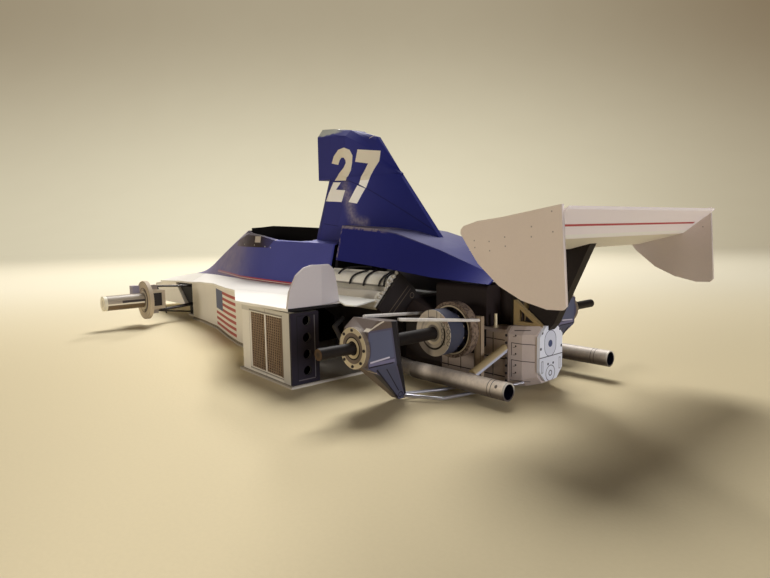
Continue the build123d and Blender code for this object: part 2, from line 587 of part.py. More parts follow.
# Front wire arms: outer end height, inner end ahead of the axle and its height.
ARMS = (
    dict(out_z=FRONT_Z + 3.85, ahead=3.7, in_z=10.0),
    dict(out_z=FRONT_Z + 3.85, ahead=8.2, in_z=9.8),
    dict(out_z=FRONT_Z - 3.55, ahead=6.7, in_z=4.4),
    dict(out_z=FRONT_Z - 3.55, ahead=2.1, in_z=4.6),
)
for side, s in SIDES:
    turn = Plane(origin=(WHEELBASE, 0, FRONT_Z), x_dir=(1, 0, 0), z_dir=(0, s, 0))
    sleeve_start = DISC_Y + DISC_T + SEAT
    with BuildPart() as front_hub:
        disc(turn, UPRIGHT_Y[0] + 0.6, sleeve_start - UPRIGHT_Y[0] - 0.6, SPIGOT_R)
        disc(turn, sleeve_start, FRONT_TIP - sleeve_start, SLEEVE_R)
    save(front_hub.part, f"front_hub_{side}")

    with BuildPart() as front_disc:
        disc(turn, DISC_Y, DISC_T, DISC_R)
        disc(turn, DISC_Y, DISC_T, SPIGOT_R + RUN, Mode.SUBTRACT)
        with Locations((WHEELBASE + DISC_R - 1.35, s * (DISC_Y + DISC_T + 1.0), FRONT_Z + 2.2)):
            Box(2.6, 2.0, 3.6)
    save(front_disc.part, f"front_disc_{side}")

    with BuildPart() as front_upright:
        with Locations((WHEELBASE, s * sum(UPRIGHT_Y) / 2, FRONT_Z)):
            Box(3.4, UPRIGHT_Y[1] - UPRIGHT_Y[0], 2 * UPRIGHT_HALF_H)
        for z in (FRONT_Z + UPRIGHT_HALF_H + 0.7, FRONT_Z - UPRIGHT_HALF_H - 0.6):
            with Locations((WHEELBASE, s * ARM_END_Y, z)):
                Box(1.4, 2.0, 1.6)
        disc(turn, UPRIGHT_Y[0], UPRIGHT_Y[1] - UPRIGHT_Y[0], SPIGOT_R + RUN, Mode.SUBTRACT)
    save(front_upright.part, f"front_upright_{side}")

    with BuildPart() as front_arms:
        for arm in ARMS:
            wire([(WHEELBASE, s * ARM_END_Y, arm["out_z"]),
                  (WHEELBASE + arm["ahead"], s * (TUB_HALF - 0.2), arm["in_z"])])
        wire([(WHEELBASE + 1.8, s * (ARM_END_Y - 1.6), FRONT_Z + 3.95),
              (WHEELBASE + 1.0, s * (ARM_END_Y - 3.8), FRONT_Z - 3.15)])
        cut_away(front_upright, tub_front)
    save(front_arms.part, f"front_arms_{side}")
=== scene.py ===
import math
from contextlib import contextmanager

import bpy
from mathutils import Matrix, Vector


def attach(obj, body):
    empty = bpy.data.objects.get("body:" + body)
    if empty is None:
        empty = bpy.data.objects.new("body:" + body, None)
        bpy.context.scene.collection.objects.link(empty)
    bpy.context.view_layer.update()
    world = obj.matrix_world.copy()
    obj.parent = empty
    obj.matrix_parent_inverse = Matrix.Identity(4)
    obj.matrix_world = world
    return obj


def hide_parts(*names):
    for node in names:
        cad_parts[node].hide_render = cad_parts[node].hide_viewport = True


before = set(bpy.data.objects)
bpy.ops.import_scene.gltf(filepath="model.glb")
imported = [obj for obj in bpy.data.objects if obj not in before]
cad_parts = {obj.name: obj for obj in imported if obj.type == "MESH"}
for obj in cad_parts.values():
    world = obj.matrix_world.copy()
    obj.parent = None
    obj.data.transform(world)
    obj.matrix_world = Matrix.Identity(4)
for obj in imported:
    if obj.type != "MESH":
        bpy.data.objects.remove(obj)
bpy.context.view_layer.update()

# Car sizes in mm, as in the part: x forward from the rear axle, y left, z up from the floor.
MM = 0.001
MIDDLE = 59.8
BAY_REAR = 17.3
POD_OUTER = 30.8
POD_TAPER = 0.9 / 19.1
HEAD_END = 13.9
GEAR_END = -13.9
GEAR_FLANGE_X = -8.5
REAR_Z = 9.75
FRONT_X, FRONT_Z = 105.8, 7.45
PIPE_Y = 13.0
ENDPLATE_Y = 22.55
# The rear uprights: their slanted inner side, their flange, and how much nearer the gearbox the right one is.
UPRIGHT_INNER, UPRIGHT_FLARE, UPRIGHT_LEAN = 20.016, 1.345, 0.139
FLANGE_Y = 31.0
RIGHT_SHIFT = 4.4
SIDES = (("left", 1), ("right", -1))


def at(x, y, z):
    """A point of the car, in the metres of the frame."""
    return Vector(((x - MIDDLE) * MM, y * MM, z * MM))


def ink(red, green, blue):
    """A colour as the eye reads it, 0 to 255, made linear."""
    steps = [value / 255 for value in (red, green, blue)]
    return tuple(v / 12.92 if v <= 0.04045 else ((v + 0.055) / 1.055) ** 2.4 for v in steps) + (1.0,)


class Number:
    """A value that changes over a surface."""

    def __init__(self, finish, socket):
        self.finish, self.socket = finish, socket

    def __add__(self, other):
        return self.finish.calc("ADD", self, other)

    def __radd__(self, other):
        return self.finish.calc("ADD", other, self)

    def __sub__(self, other):
        return self.finish.calc("SUBTRACT", self, other)

    def __rsub__(self, other):
        return self.finish.calc("SUBTRACT", other, self)

    def __mul__(self, other):
        return self.finish.calc("MULTIPLY", self, other)

    def __rmul__(self, other):
        return self.finish.calc("MULTIPLY", other, self)

    def __truediv__(self, other):
        return self.finish.calc("DIVIDE", self, other)

    def __rtruediv__(self, other):
        return self.finish.calc("DIVIDE", other, self)

    def __abs__(self):
        return self.finish.calc("ABSOLUTE", self)

    def __or__(self, other):
        return self.finish.calc("MAXIMUM", self, other)


class Finish:
    """One procedural material, drawn in the car's millimetres."""

    def __init__(self, name, colour, roughness=0.6, metallic=0.0, specular=0.4):
        self.material = bpy.data.materials.new(name)
        self.material.use_nodes = True
        self.tree = self.material.node_tree
        self.shader = self.tree.nodes["Principled BSDF"]
        self.shader.inputs["Metallic"].default_value = metallic
        self.shader.inputs["Specular IOR Level"].default_value = specular
        place = self.node("ShaderNodeTexCoord").outputs["Object"]
        self.place = self.node("ShaderNodeVectorMath", dict(operation="MULTIPLY_ADD"),
                               (place, (1000, 1000, 1000), (MIDDLE, 0, 0))).outputs[0]
        split = self.node("ShaderNodeSeparateXYZ", inputs=(self.place,))
        self.x, self.y, self.z = (Number(self, split.outputs[i]) for i in range(3))
        self.out = abs(self.y)
        self.colour = colour
        self.roughness = roughness
        self.height = None

    def node(self, kind, settings=None, inputs=()):
        """Any node: its settings first, then the values or links of its sockets, by order or by name."""
        node = self.tree.nodes.new(kind)
        for key, value in (settings or {}).items():
            setattr(node, key, value)
        pairs = inputs.items() if isinstance(inputs, dict) else enumerate(inputs)
        for key, value in pairs:
            socket = node.inputs[key]
            if isinstance(value, Number):
                value = value.socket
            if isinstance(value, bpy.types.NodeSocket):
                self.tree.links.new(value, socket)
            else:
                socket.default_value = value
        return node

    def calc(self, operation, *values):
        return Number(self, self.node("ShaderNodeMath", dict(operation=operation), values).outputs[0])

    def rise(self, value, edge, soft=0.08):
        """0 below the edge, 1 above it."""
        inputs = {"Value": value, "From Min": edge - soft / 2, "From Max": edge + soft / 2}
        node = self.node("ShaderNodeMapRange", dict(interpolation_type="SMOOTHSTEP"), inputs)
        return Number(self, node.outputs[0])

    def fall(self, value, edge, soft=0.08):
        """1 below the edge, 0 above it."""
        return 1 - self.rise(value, edge, soft)

    def band(self, value, low, high, soft=0.08):
        """1 between two edges."""
        return self.rise(value, low, soft) * self.fall(value, high, soft)

    def either(self, *masks):
        """The highest of several masks."""
        highest, *others = masks
        for mask in others:
            highest = highest | mask
        return highest

    def box(self, u, v, u_range, v_range, soft=0.08):
        return self.band(u, *u_range, soft) * self.band(v, *v_range, soft)

    def frame(self, u, v, u_range, v_range, width=0.12):
        """The outline of a rectangle."""
        (a, b), (c, d) = u_range, v_range
        inner = self.box(u, v, (a + width, b - width), (c + width, d - width))
        return self.box(u, v, u_range, v_range) * (1 - inner)

    def far(self, u, v, centre):
        """Distance from a point."""
        return self.calc("SQRT", (u - centre[0]) * (u - centre[0]) + (v - centre[1]) * (v - centre[1]))

    def dot(self, u, v, centre, radius, soft=0.08):
        return self.fall(self.far(u, v, centre), radius, soft)

    def ring(self, u, v, centre, radius, width=0.12, soft=0.08):
        return self.band(self.far(u, v, centre), radius - width / 2, radius + width / 2, soft)

    def stroke(self, u, v, start, end, width=0.12, soft=0.08):
        """A straight line from one point to another."""
        du, dv = end[0] - start[0], end[1] - start[1]
        along = ((u - start[0]) * du + (v - start[1]) * dv) / (du * du + dv * dv)
        along = Number(self, self.node("ShaderNodeClamp", inputs=(along,)).outputs[0])
        return self.fall(self.far(u - along * du, v - along * dv, start), width / 2, soft)

    def strokes(self, u, v, points, width=0.12):
        """A line through several points."""
        return self.either(*(self.stroke(u, v, start, end, width) for start, end in zip(points, points[1:])))

    def course(self, value, points):
        """A bent line: its height at each of the points, straight in between."""
        total = points[0][1]
        for (start, low), (end, high) in zip(points, points[1:]):
            inputs = {"Value": value, "From Min": start, "From Max": end, "To Max": high - low}
            total = Number(self, self.node("ShaderNodeMapRange", inputs=inputs).outputs[0]) + total
        return total

    def row(self, value, pitch):
        """Distance to the nearest of a row of evenly spaced places."""
        return self.calc("PINGPONG", value, pitch / 2)

    def noise(self, size, detail=2.0, rough=0.5):
        """Cloudy value around a half, with spots of about the size given."""
        node = self.node("ShaderNodeTexNoise", inputs={"Vector": self.place, "Scale": 1 / size,
                                                       "Detail": detail, "Roughness": rough})
        return Number(self, node.outputs["Fac"])

    def paint(self, mask, colour):
        mix = self.node("ShaderNodeMix", dict(data_type="RGBA"))
        for key, value in ((0, mask), (6, self.colour), (7, colour)):
            value = value.socket if isinstance(value, Number) else value
            if isinstance(value, bpy.types.NodeSocket):
                self.tree.links.new(value, mix.inputs[key])
            else:
                mix.inputs[key].default_value = value
        self.colour = mix.outputs[2]
        return self

    def shade(self, factor):
        """Makes the colour lighter or darker from place to place."""
        scale = self.node("ShaderNodeVectorMath", dict(operation="SCALE"))
        if isinstance(self.colour, bpy.types.NodeSocket):
            self.tree.links.new(self.colour, scale.inputs[0])
        else:
            scale.inputs[0].default_value = self.colour[:3]
        self.tree.links.new(factor.socket, scale.inputs["Scale"])
        self.colour = scale.outputs[0]
        return self

    def raised(self, height):
        """Adds a height in mm to the surface."""
        self.height = height if self.height is None else self.height + height
        return self

    def done(self):
        for name, value in (("Base Color", self.colour), ("Roughness", self.roughness)):
            value = value.socket if isinstance(value, Number) else value
            if isinstance(value, bpy.types.NodeSocket):
                self.tree.links.new(value, self.shader.inputs[name])
            else:
                self.shader.inputs[name].default_value = value
        if self.height is not None:
            inputs = {"Strength": 1.0, "Distance": MM, "Height": self.height}
            bump = self.node("ShaderNodeBump", inputs=inputs)
            self.tree.links.new(bump.outputs[0], self.shader.inputs["Normal"])
        return self.material


def card(name, colour, mottle=0.05, roughness=0.62, specular=0.35):
    """Printed card: slightly cloudy, with a fine paper grain."""
    finish = Finish(name, colour, roughness, specular=specular)
    fine = finish.noise(0.35, 3)
    finish.shade(1 + (finish.noise(9, 3) - 0.5) * (2 * mottle) + (fine - 0.5) * (1.2 * mottle))
    return finish.raised(fine * 0.012 + finish.noise(6, 1) * 0.10)


WHITE = ink(243, 238, 228)
BLUE = ink(32, 37, 110)
BLACK = ink(34, 30, 32)
BEIGE = ink(184, 166, 152)
RED = ink(188, 92, 84)
LINE = ink(40, 34, 34)


def white_side():
    finish = card("white_side_card", WHITE)
    x, z = finish.x, finish.z
    panel = finish.box(x, z, (60.8, 84.2), (1.5, 11.4))
    pitch = (11.4 - 1.5) / 13
    stripes = finish.rise(finish.row(z - (11.4 - pitch / 2), 2 * pitch), pitch / 2, 0.12)
    finish.paint(panel * (1 - stripes), RED)
    finish.paint(finish.box(x, z, (75.4, 84.2), (11.4 - 7 * pitch, 11.4)), ink(100, 108, 136))
    finish.paint(finish.band(z, 0.3, 0.85, 0.1), ink(150, 138, 118))
    return finish.done()


def white_deck():
    finish = card("white_deck_card", ink(250, 246, 238), 0.03)
    # Painted shade: a darker line along the fold of the deck.
    fold = finish.stroke(finish.x, finish.out, (62, 18.6), (20, 20.4), 0.16, 0.2)
    finish.paint(fold * 0.35, ink(176, 164, 148))
    # The rear edge is in the dark of the engine bay.
    finish.paint(finish.fall(finish.x, BAY_REAR + 0.06, 0.04), ink(20, 16, 16))
    return finish.done()


def plain_white(name, colour=WHITE):
    return card(name, colour).done()


def tub_card():
    finish = card("tub_card", ink(216, 208, 192))
    finish.paint(finish.rise(finish.out, 6.4) * finish.fall(finish.z, 10.7), ink(15, 12, 16))
    return finish.done()


def floor_card():
    finish = card("floor_card", ink(206, 198, 184))
    # Painted shade: above its lowest 0.3 mm, on its top under the car, the card is mixed halfway to dark
    # brown.
    finish.paint(finish.rise(finish.z, 0.3, 0.1) * 0.5, ink(120, 108, 92))
    return finish.done()


def blue_cowl():
    finish = card("blue_cowl_card", ink(84, 87, 162), 0.08, 0.6, 0.14)
    x, z = finish.x, finish.z
    # The screen: dark film round the front of the opening, with small pale rivets and a white square.
    screen = finish.rise(z, 22.75, 0.12) * finish.rise(x + (z - 22.7) * 1.43, 64.0, 0.15)
    screen = screen * finish.fall(x, 86, 0.6)
    finish.paint(screen * (0.55 + finish.rise(x, 66, 8) * 0.45), ink(52, 42, 40))
    finish.paint(screen * finish.rise(x + z, 100, 8) * 0.6, ink(22, 18, 20))
    finish.paint(finish.box(x, z, (68.5, 71.9), (24.0, 25.6)) * 0.9, ink(206, 196, 186))
    for place in ((78.9, 23.4), (72.0, 23.3), (65.7, 23.0), (62.7, 22.8), (60.7, 24.7)):
        finish.paint(finish.dot(x, z, place, 0.17), ink(226, 220, 206))
    # The pinstripes along the foot: dark, pale and red.
    up = z - finish.course(x, ((40, 14.1), (79, 14.15), (87, 14.55), (97, 14.85)))
    along = finish.band(x, 46.2, 97, 0.3)
    finish.paint(finish.band(up, 0.0, 0.2) * along, ink(146, 52, 62))
    finish.paint(finish.band(up, 0.2, 0.42) * along, ink(232, 214, 200))
    finish.paint(finish.band(up, 0.42, 0.76) * along, ink(198, 84, 96))
    # Paler, worn card in clouds towards the front.
    worn = finish.rise(x, 80, 26) * (0.4 + finish.noise(2.5, 3) * 0.8)
    finish.paint(worn * 0.8, ink(176, 166, 182))
    # Painted highlight: a paler strip along the middle of the ridge.
    ridge_highlight = finish.fall(finish.out, 2.4, 3.2) * finish.rise(x, 74, 8)
    finish.paint(ridge_highlight * 0.75, ink(196, 182, 184))
    return finish.done()


def blue_cover():
    finish = card("blue_cover_card", ink(38, 42, 122), 0.08, 0.6, 0.14)
    x, z = finish.x, finish.z
    shoulder = z - finish.course(x, ((-8.6, 19.2), (4.3, 23.3), (16, 26.2), (21.8, 27.0), (35, 27.8)))
    # Painted highlight: above the shoulder line the top is painted a paler, greyer blue.
    finish.paint(finish.rise(shoulder, 0.0, 0.3) * finish.rise(x, 8, 24) * 0.6, ink(116, 114, 136))
    grey = finish.noise(0.9, 3)
    worn = finish.band(shoulder, -0.35, 0.4, 0.3) * finish.rise(x, 20, 4) * finish.rise(grey, 0.42, 0.2)
    front = finish.rise(x, 34.5, 0.15) * finish.rise(grey, 0.5, 0.2)
    finish.paint((worn | front) * 0.5, ink(186, 172, 168))
    return finish.done()


def blue_fin():
    finish = card("blue_fin_card", BLUE, 0.09, 0.6, 0.14)
    x, z = finish.x, finish.z
    finish.paint(finish.rise(x, 30, 20), ink(58, 60, 128))
    worn = finish.rise(z + (finish.noise(2.5, 3) - 0.5) * 1.4, 48.5, 0.5) * finish.rise(x, 39, 3)
    finish.paint(worn * 0.85, ink(184, 186, 170))
    # Painted highlight: a pale strip along the lower leading edge.
    edge = finish.rise(x + z * 0.394, 57.9, 2.0) * finish.fall(z, 37.0, 4)
    finish.paint(edge * 0.5, ink(176, 168, 176))
    # Painted shade: the fin's rear edge is painted a near-black blue.
    trail = x - finish.course(z, ((25.9, 10.7), (38.3, 20.3), (46.1, 27.1)))
    finish.paint(finish.fall(trail, 0.1, 0.1) * finish.fall(z, 46.1), ink(14, 14, 36))
    # Painted shade: dark lines along the creases; also a dark line along a seam.
    crease = finish.strokes(x, z, [(41.7, 38.1), (34.1, 37.6), (29.9, 35.9), (19.6, 30.6), (12.3, 26.8)], 0.2)
    crease = crease | finish.stroke(x, z, (43.1, 28.5), (37.9, 27.9), 0.16)
    finish.paint(crease * 0.5, ink(12, 12, 34))
    smudge = finish.stroke(x, z, (35.6, 36.5), (33.5, 29.6), 1.4, 3.2) | finish.stroke(
        x, z, (33.5, 29.2), (30.0, 28.4), 1.2, 2.6)
    finish.paint(smudge * (0.25 + finish.rise(finish.noise(0.6, 5), 0.45, 0.4) * 0.5), ink(166, 156, 162))
    finish.paint(finish.stroke(x, z, (29.9, 47.3), (30.8, 46.6), 0.16) * 0.9, ink(222, 206, 190))
    # The inside of the air intake.
    inside = finish.fall(finish.out, 3.52, 0.04) * finish.band(z, 39.42, 48.38, 0.04)
    finish.paint(inside * finish.rise(x, 40, 0.2), ink(16, 14, 18))
    return finish.done()


def black_card(name, colour=BLACK, roughness=0.6):
    return card(name, colour, 0.12, roughness, 0.25).done()


def pod_card():
    finish = card("pod_card", WHITE)
    x, y, z = finish.x, finish.out, finish.z
    rear = finish.fall(x, BAY_REAR + 0.5, 0.1)
    finish.paint(rear, ink(46, 38, 54))
    inner = finish.fall(y, POD_OUTER - 2.4 + 1.0, 0.1)
    finish.paint(inner * finish.rise(x, 18, 0.1), BLACK)
    finish.paint(finish.frame(y, z, (25.7, 29.6), (1.1, 12.6), 0.14) * rear, ink(24, 20, 26))
    finish.paint(finish.stroke(y, z, (25.9, 1.4), (25.9, 12.4), 0.16) * rear, ink(150, 144, 150))
    finish.paint(finish.stroke(y, z, (26.0, 1.2), (29.4, 1.2), 0.16) * rear, ink(128, 120, 126))
    finish.paint(rear * finish.fall(z, 0.45, 0.1), ink(186, 180, 200))
    # The four round holes: their walls are painted dark, painted shade, but for a pale crescent of bare card
    # on one side.
    for height in (2.7, 5.6, 8.6, 11.6):
        place = (POD_OUTER - 3.3, height)
        hole = finish.dot(y, z, place, 1.02) * finish.rise(x, BAY_REAR + 0.04, 0.02) * rear
        finish.paint(hole, ink(40, 33, 48))
        finish.paint(hole * finish.rise(finish.far(y, z, place), 0.86) *
                     finish.fall(y, POD_OUTER - 3.5, 0.4), ink(206, 200, 196))
    # The side: brown behind the meshes, and printed lines round them.
    recess = finish.box(x, z, (20.96, 32.64), (1.36, 12.04)) * (1 - finish.band(x, 26.62, 26.98))
    deep = finish.fall(y - (POD_OUTER - (x - BAY_REAR) * POD_TAPER), -0.2, 0.06)
    finish.paint(recess * deep * finish.rise(y, 27), ink(96, 78, 62))
    skin = finish.rise(y, 29.4)
    finish.paint(finish.box(x, z, (20.3, 21.0), (1.36, 12.04)) * skin, ink(112, 92, 74))
    border = finish.frame(x, z, (20.2, 33.2), (0.8, 12.6), 0.14)
    finish.paint(border * skin * 0.6, ink(120, 106, 88))
    for height, dark in ((12.32, True), (12.62, False), (1.1, True), (0.8, False)):
        line = finish.box(x, z, (20.3, 33.2), (height - 0.09, height + 0.09)) * skin
        finish.paint(line * 0.8, ink(84, 70, 58) if dark else ink(250, 246, 236))
    for low, high in ((12.2, 13.0), (0.4, 1.2)):
        finish.paint(finish.box(x, z, (26.66, 26.78), (low, high)) * skin * 0.7, ink(110, 96, 82))
    # Painted shade: the top and the rear post of the frame are darkened by up to three tenths.
    finish.shade(1 - (finish.rise(z, 12.1, 0.1) | finish.fall(x, 20.2, 0.1)) * 0.3)
    return finish.done()


def mesh_wire():
    finish = Finish("radiator_mesh_wire", ink(188, 162, 134), 0.55, 0.1)
    finish.shade(0.75 + finish.noise(0.8, 3) * 0.5)
    return finish.raised(finish.noise(0.2) * 0.02).done()


def block_card():
    finish = card("engine_card", ink(46, 38, 36), 0.15, 0.5, 0.5)
    y, z = finish.out, finish.z
    rear = finish.fall(finish.x, HEAD_END + 0.1, 0.1)
    lines = finish.either(
        finish.stroke(y, z, (6.2, 16.2), (11.2, 11.6)), finish.stroke(y, z, (5.6, 15.6), (10.6, 11.0)),
        finish.ring(y, z, (5.2, 14.3), 0.5), finish.stroke(y, z, (3.4, 13.4), (8.0, 9.2)))
    finish.paint(lines * rear * 0.7, ink(150, 132, 108))
    return finish.done()


def cam_card():
    finish = Finish("cam_cover_silver", ink(255, 253, 244), 0.45, 0.0, 0.5)
    finish.shade(0.9 + finish.noise(1.6, 4, 0.65) * 0.24)
    # Across the bank: two round covers with a flat strip between them.
    across = (finish.out - 10.55) * 0.683 - (finish.z - 15.25) * 0.731
    finish.paint(finish.band(across, -0.5, 0.5, 0.1) * 0.6, ink(172, 164, 142))
    # Painted shadow: a dark line under the upper cover, where it meets the strip.
    finish.paint(finish.band(across, -0.75, -0.5, 0.1) * 0.8, ink(60, 50, 42))
    finish.paint(finish.band(across, 0.5, 0.62, 0.1) * 0.5, ink(120, 108, 90))
    # Painted shade: the lower cover is painted a little darker than the upper one.
    finish.paint(finish.rise(across, 0.6, 0.1), ink(222, 214, 198))
    finish.paint(finish.fall(finish.x + finish.noise(1.4) * 0.8, 15.7, 0.1) * 0.9, ink(246, 240, 224))
    return finish.raised(finish.noise(0.4) * 0.03).done()


def gearbox_print():
    finish = card("gearbox_card", BEIGE, 0.12)
    x, y, z = finish.x, finish.out, finish.z
    wall = finish.rise(y, 4.05, 0.1)
    # Printed ribs: upright ones, two long ones and a shorter one at the top.
    upright = [finish.box(x, z, (place - 0.09, place + 0.09), (1.6, 9.3))
               for place in (5.4, 2.3, -0.9, -2.0, -2.8, -5.1)]
    level = [finish.box(x, z, (-7.6, 8.4), (height - 0.1, height + 0.1)) for height in (1.9, 5.0)]
    ribs = finish.either(*upright, *level, finish.box(x, z, (-7.6, 6.4), (8.12, 8.28)))
    finish.paint(ribs * wall, ink(46, 36, 36))
    # Painted highlights: pale lines beside two of the ribs.
    edges = finish.box(x, z, (-5.3, -5.22), (1.6, 9.3)) | finish.box(x, z, (-1.85, -1.72), (0.4, 9.8))
    finish.paint(edges * wall * 0.8, ink(214, 200, 172))
    finish.paint(finish.box(x, z, (-2.72, -2.06), (0.4, 9.8)) * wall, ink(168, 148, 120))
    # Behind the windows of the brake ring the case is painted near-black: painted shade inside the ring.
    finish.paint(finish.dot(x, z, (0.0, REAR_Z), 4.7) * finish.rise(x, -3.6) * wall, ink(20, 17, 24))
    finish.paint(finish.fall(x, GEAR_FLANGE_X + 0.55, 0.1) * 0.4, ink(84, 72, 64))
    return finish.done()


def gearbox_end():
    finish = card("gearbox_end_card", ink(196, 182, 176), 0.08)
    x, y, z, across = finish.x, finish.out, finish.z, finish.y
    side = finish.rise(y, 3.0, 0.1) * finish.rise(x, -13.2, 0.05)
    lines = finish.either(
        finish.strokes(x, z, [(-9.0, 5.9), (-9.0, 8.0), (-13.0, 8.0)]),
        finish.strokes(x, z, [(-9.0, 2.2), (-9.0, 5.1), (-12.9, 5.1)]),
        finish.stroke(x, z, (-8.8, 1.6), (-13.0, 1.6)), finish.stroke(x, z, (-9.2, 10.0), (-13.0, 10.4)))
    finish.paint(lines * side, LINE)
    for height in (9.3, 7.5, 6.2, 4.3, 3.0):
        finish.paint(finish.dot(x, z, (-9.8, height), 0.16) * side, LINE)
        shank = finish.stroke(x, z, (-9.7, height - 0.2), (-9.3, height - 0.25), 0.1)
        finish.paint(shank * side, ink(90, 78, 70))
    # The pale plate at the very end: an oval above, a round cover below.
    plate = finish.fall(x, GEAR_END + 0.55, 0.1)
    finish.paint(plate, ink(236, 240, 254))
    # Painted shade: below the middle the plate is a little darker.
    finish.paint(plate * finish.fall(z, 5.9), ink(224, 228, 242))
    face = finish.fall(x, GEAR_END + 0.05, 0.04)
    tall = abs(z - 8.05) - 0.5
    oval = finish.far(across - 0.3, finish.calc("MAXIMUM", tall, 0.0), (0, 0))
    finish.paint(finish.band(oval, 1.6, 1.72) * face, ink(70, 76, 110))
    finish.paint(finish.fall(oval, 1.6) * face, ink(216, 220, 236))
    finish.paint(finish.dot(across, z, (0.3, 8.0), 0.6) * face, ink(72, 82, 122))
    bolts = [finish.dot(across, z, place, 0.24)
             for place in ((2.6, 10.0), (-2.5, 10.1), (3.0, 7.4), (-3.0, 7.2), (-2.9, 2.4), (2.9, 2.4))]
    dark = finish.either(
        finish.stroke(across, z, (3.3, 5.9), (-3.3, 5.9), 0.14),
        finish.dot(across, z, (0.9, 4.6), 0.22), finish.dot(across, z, (-0.6, 4.6), 0.22),
        finish.ring(across, z, (0.2, 3.0), 1.3), finish.ring(across, z, (0.2, 3.0), 0.42, 0.16),
        finish.frame(across, z, (2.3, 2.8), (3.3, 5.3), 0.1),
        finish.frame(across, z, (-2.8, -2.3), (3.3, 5.3), 0.1))
    finish.paint(finish.either(dark, *bolts) * face, ink(52, 50, 72))
    return finish.done()


def brake_print():
    finish = card("brake_card", ink(178, 160, 134), 0.1)
    x, y, z = finish.x, finish.out, finish.z
    centre = (0.0, REAR_Z)
    away = finish.far(x, z, centre)
    # From the gearbox outwards: windowed ring, drum, round face.
    ring = finish.band(y, 7.6, 9.56, 0.04)
    face = finish.rise(y, 9.46, 0.04)
    marks = finish.rise(finish.noise(0.5, 3), 0.52, 0.1)
    rim = ring * finish.band(away, 4.35, 4.98, 0.04)
    finish.paint(rim, ink(140, 120, 102))
    finish.paint(rim * marks * 0.7, ink(70, 56, 50))
    finish.paint(ring * face * finish.band(away, 4.05, 4.3), ink(206, 190, 160))
    finish.paint(ring * face * (finish.band(away, 4.3, 4.4) | finish.band(away, 3.92, 4.02)), LINE)
    # Painted shade: inside the ring its inner side is painted near-black.
    finish.paint(ring * (1 - face) * finish.fall(away, 4.1), ink(28, 24, 30))
    turn = finish.calc("ARCTAN2", z - REAR_Z, x)
    spokes = finish.fall(finish.row(turn - math.pi / 10, math.pi / 5), 0.06, 0.03)
    # Painted shade: the ring between its spokes is painted near-black.
    finish.paint(ring * finish.fall(away, 4.0) * (1 - spokes), ink(22, 20, 32))
    finish.paint(finish.band(y, 9.54, 13.72, 0.04), ink(70, 72, 88))
    post = 1 - finish.rise(y, 7.66, 0.1) * finish.fall(away, 5.0)
    finish.paint(post, ink(166, 146, 122))
    finish.paint(post * (finish.band(x, -5.3, -5.18) | finish.band(x, -4.3, -4.18)), ink(90, 76, 66))
    front = finish.rise(y, 13.7, 0.05)
    finish.paint(front, ink(212, 200, 184))
    # Painted shadow: the lower front of the face is darkened, where the shaft's shadow falls.
    finish.paint(finish.fall(z, 8.4, 1.6) * finish.rise(x, 0.4, 1.4) * front * 0.75, ink(52, 40, 36))
    low = finish.fall(z + x * 0.3, REAR_Z + 0.4, 0.3)
    # Printed on the face: an arc, two rows of small circles and an empty box.
    circles = [finish.ring(x, z, (column, height), 0.36, 0.12) * 0.8
               for column in (-2.3, -3.5) for height in (8.4, 9.4, 10.4, 11.4)]
    print_lines = finish.either(
        finish.band(away, 2.5, 2.85) * (0.3 + low * 0.7), finish.ring(x, z, centre, 1.25, 0.3) * 0.5,
        finish.box(x, z, (-0.98, -0.86), (12.3, 13.7)), finish.box(x, z, (0.98, 1.1), (12.3, 13.7)),
        finish.box(x, z, (-1.9, -1.8), (12.2, 13.5)), finish.box(x, z, (-0.9, 1.0), (12.3, 12.4)), *circles)
    finish.paint(print_lines * front, LINE)
    finish.paint(finish.band(away, 1.5, 1.95) * front, ink(232, 220, 196))
    rust = finish.dot(x, z, (-2.9, 12.4), 0.7, 0.9) * finish.rise(finish.noise(0.5, 3), 0.4, 0.3)
    finish.paint(rust * front * 0.8, ink(120, 62, 46))
    return finish.done()


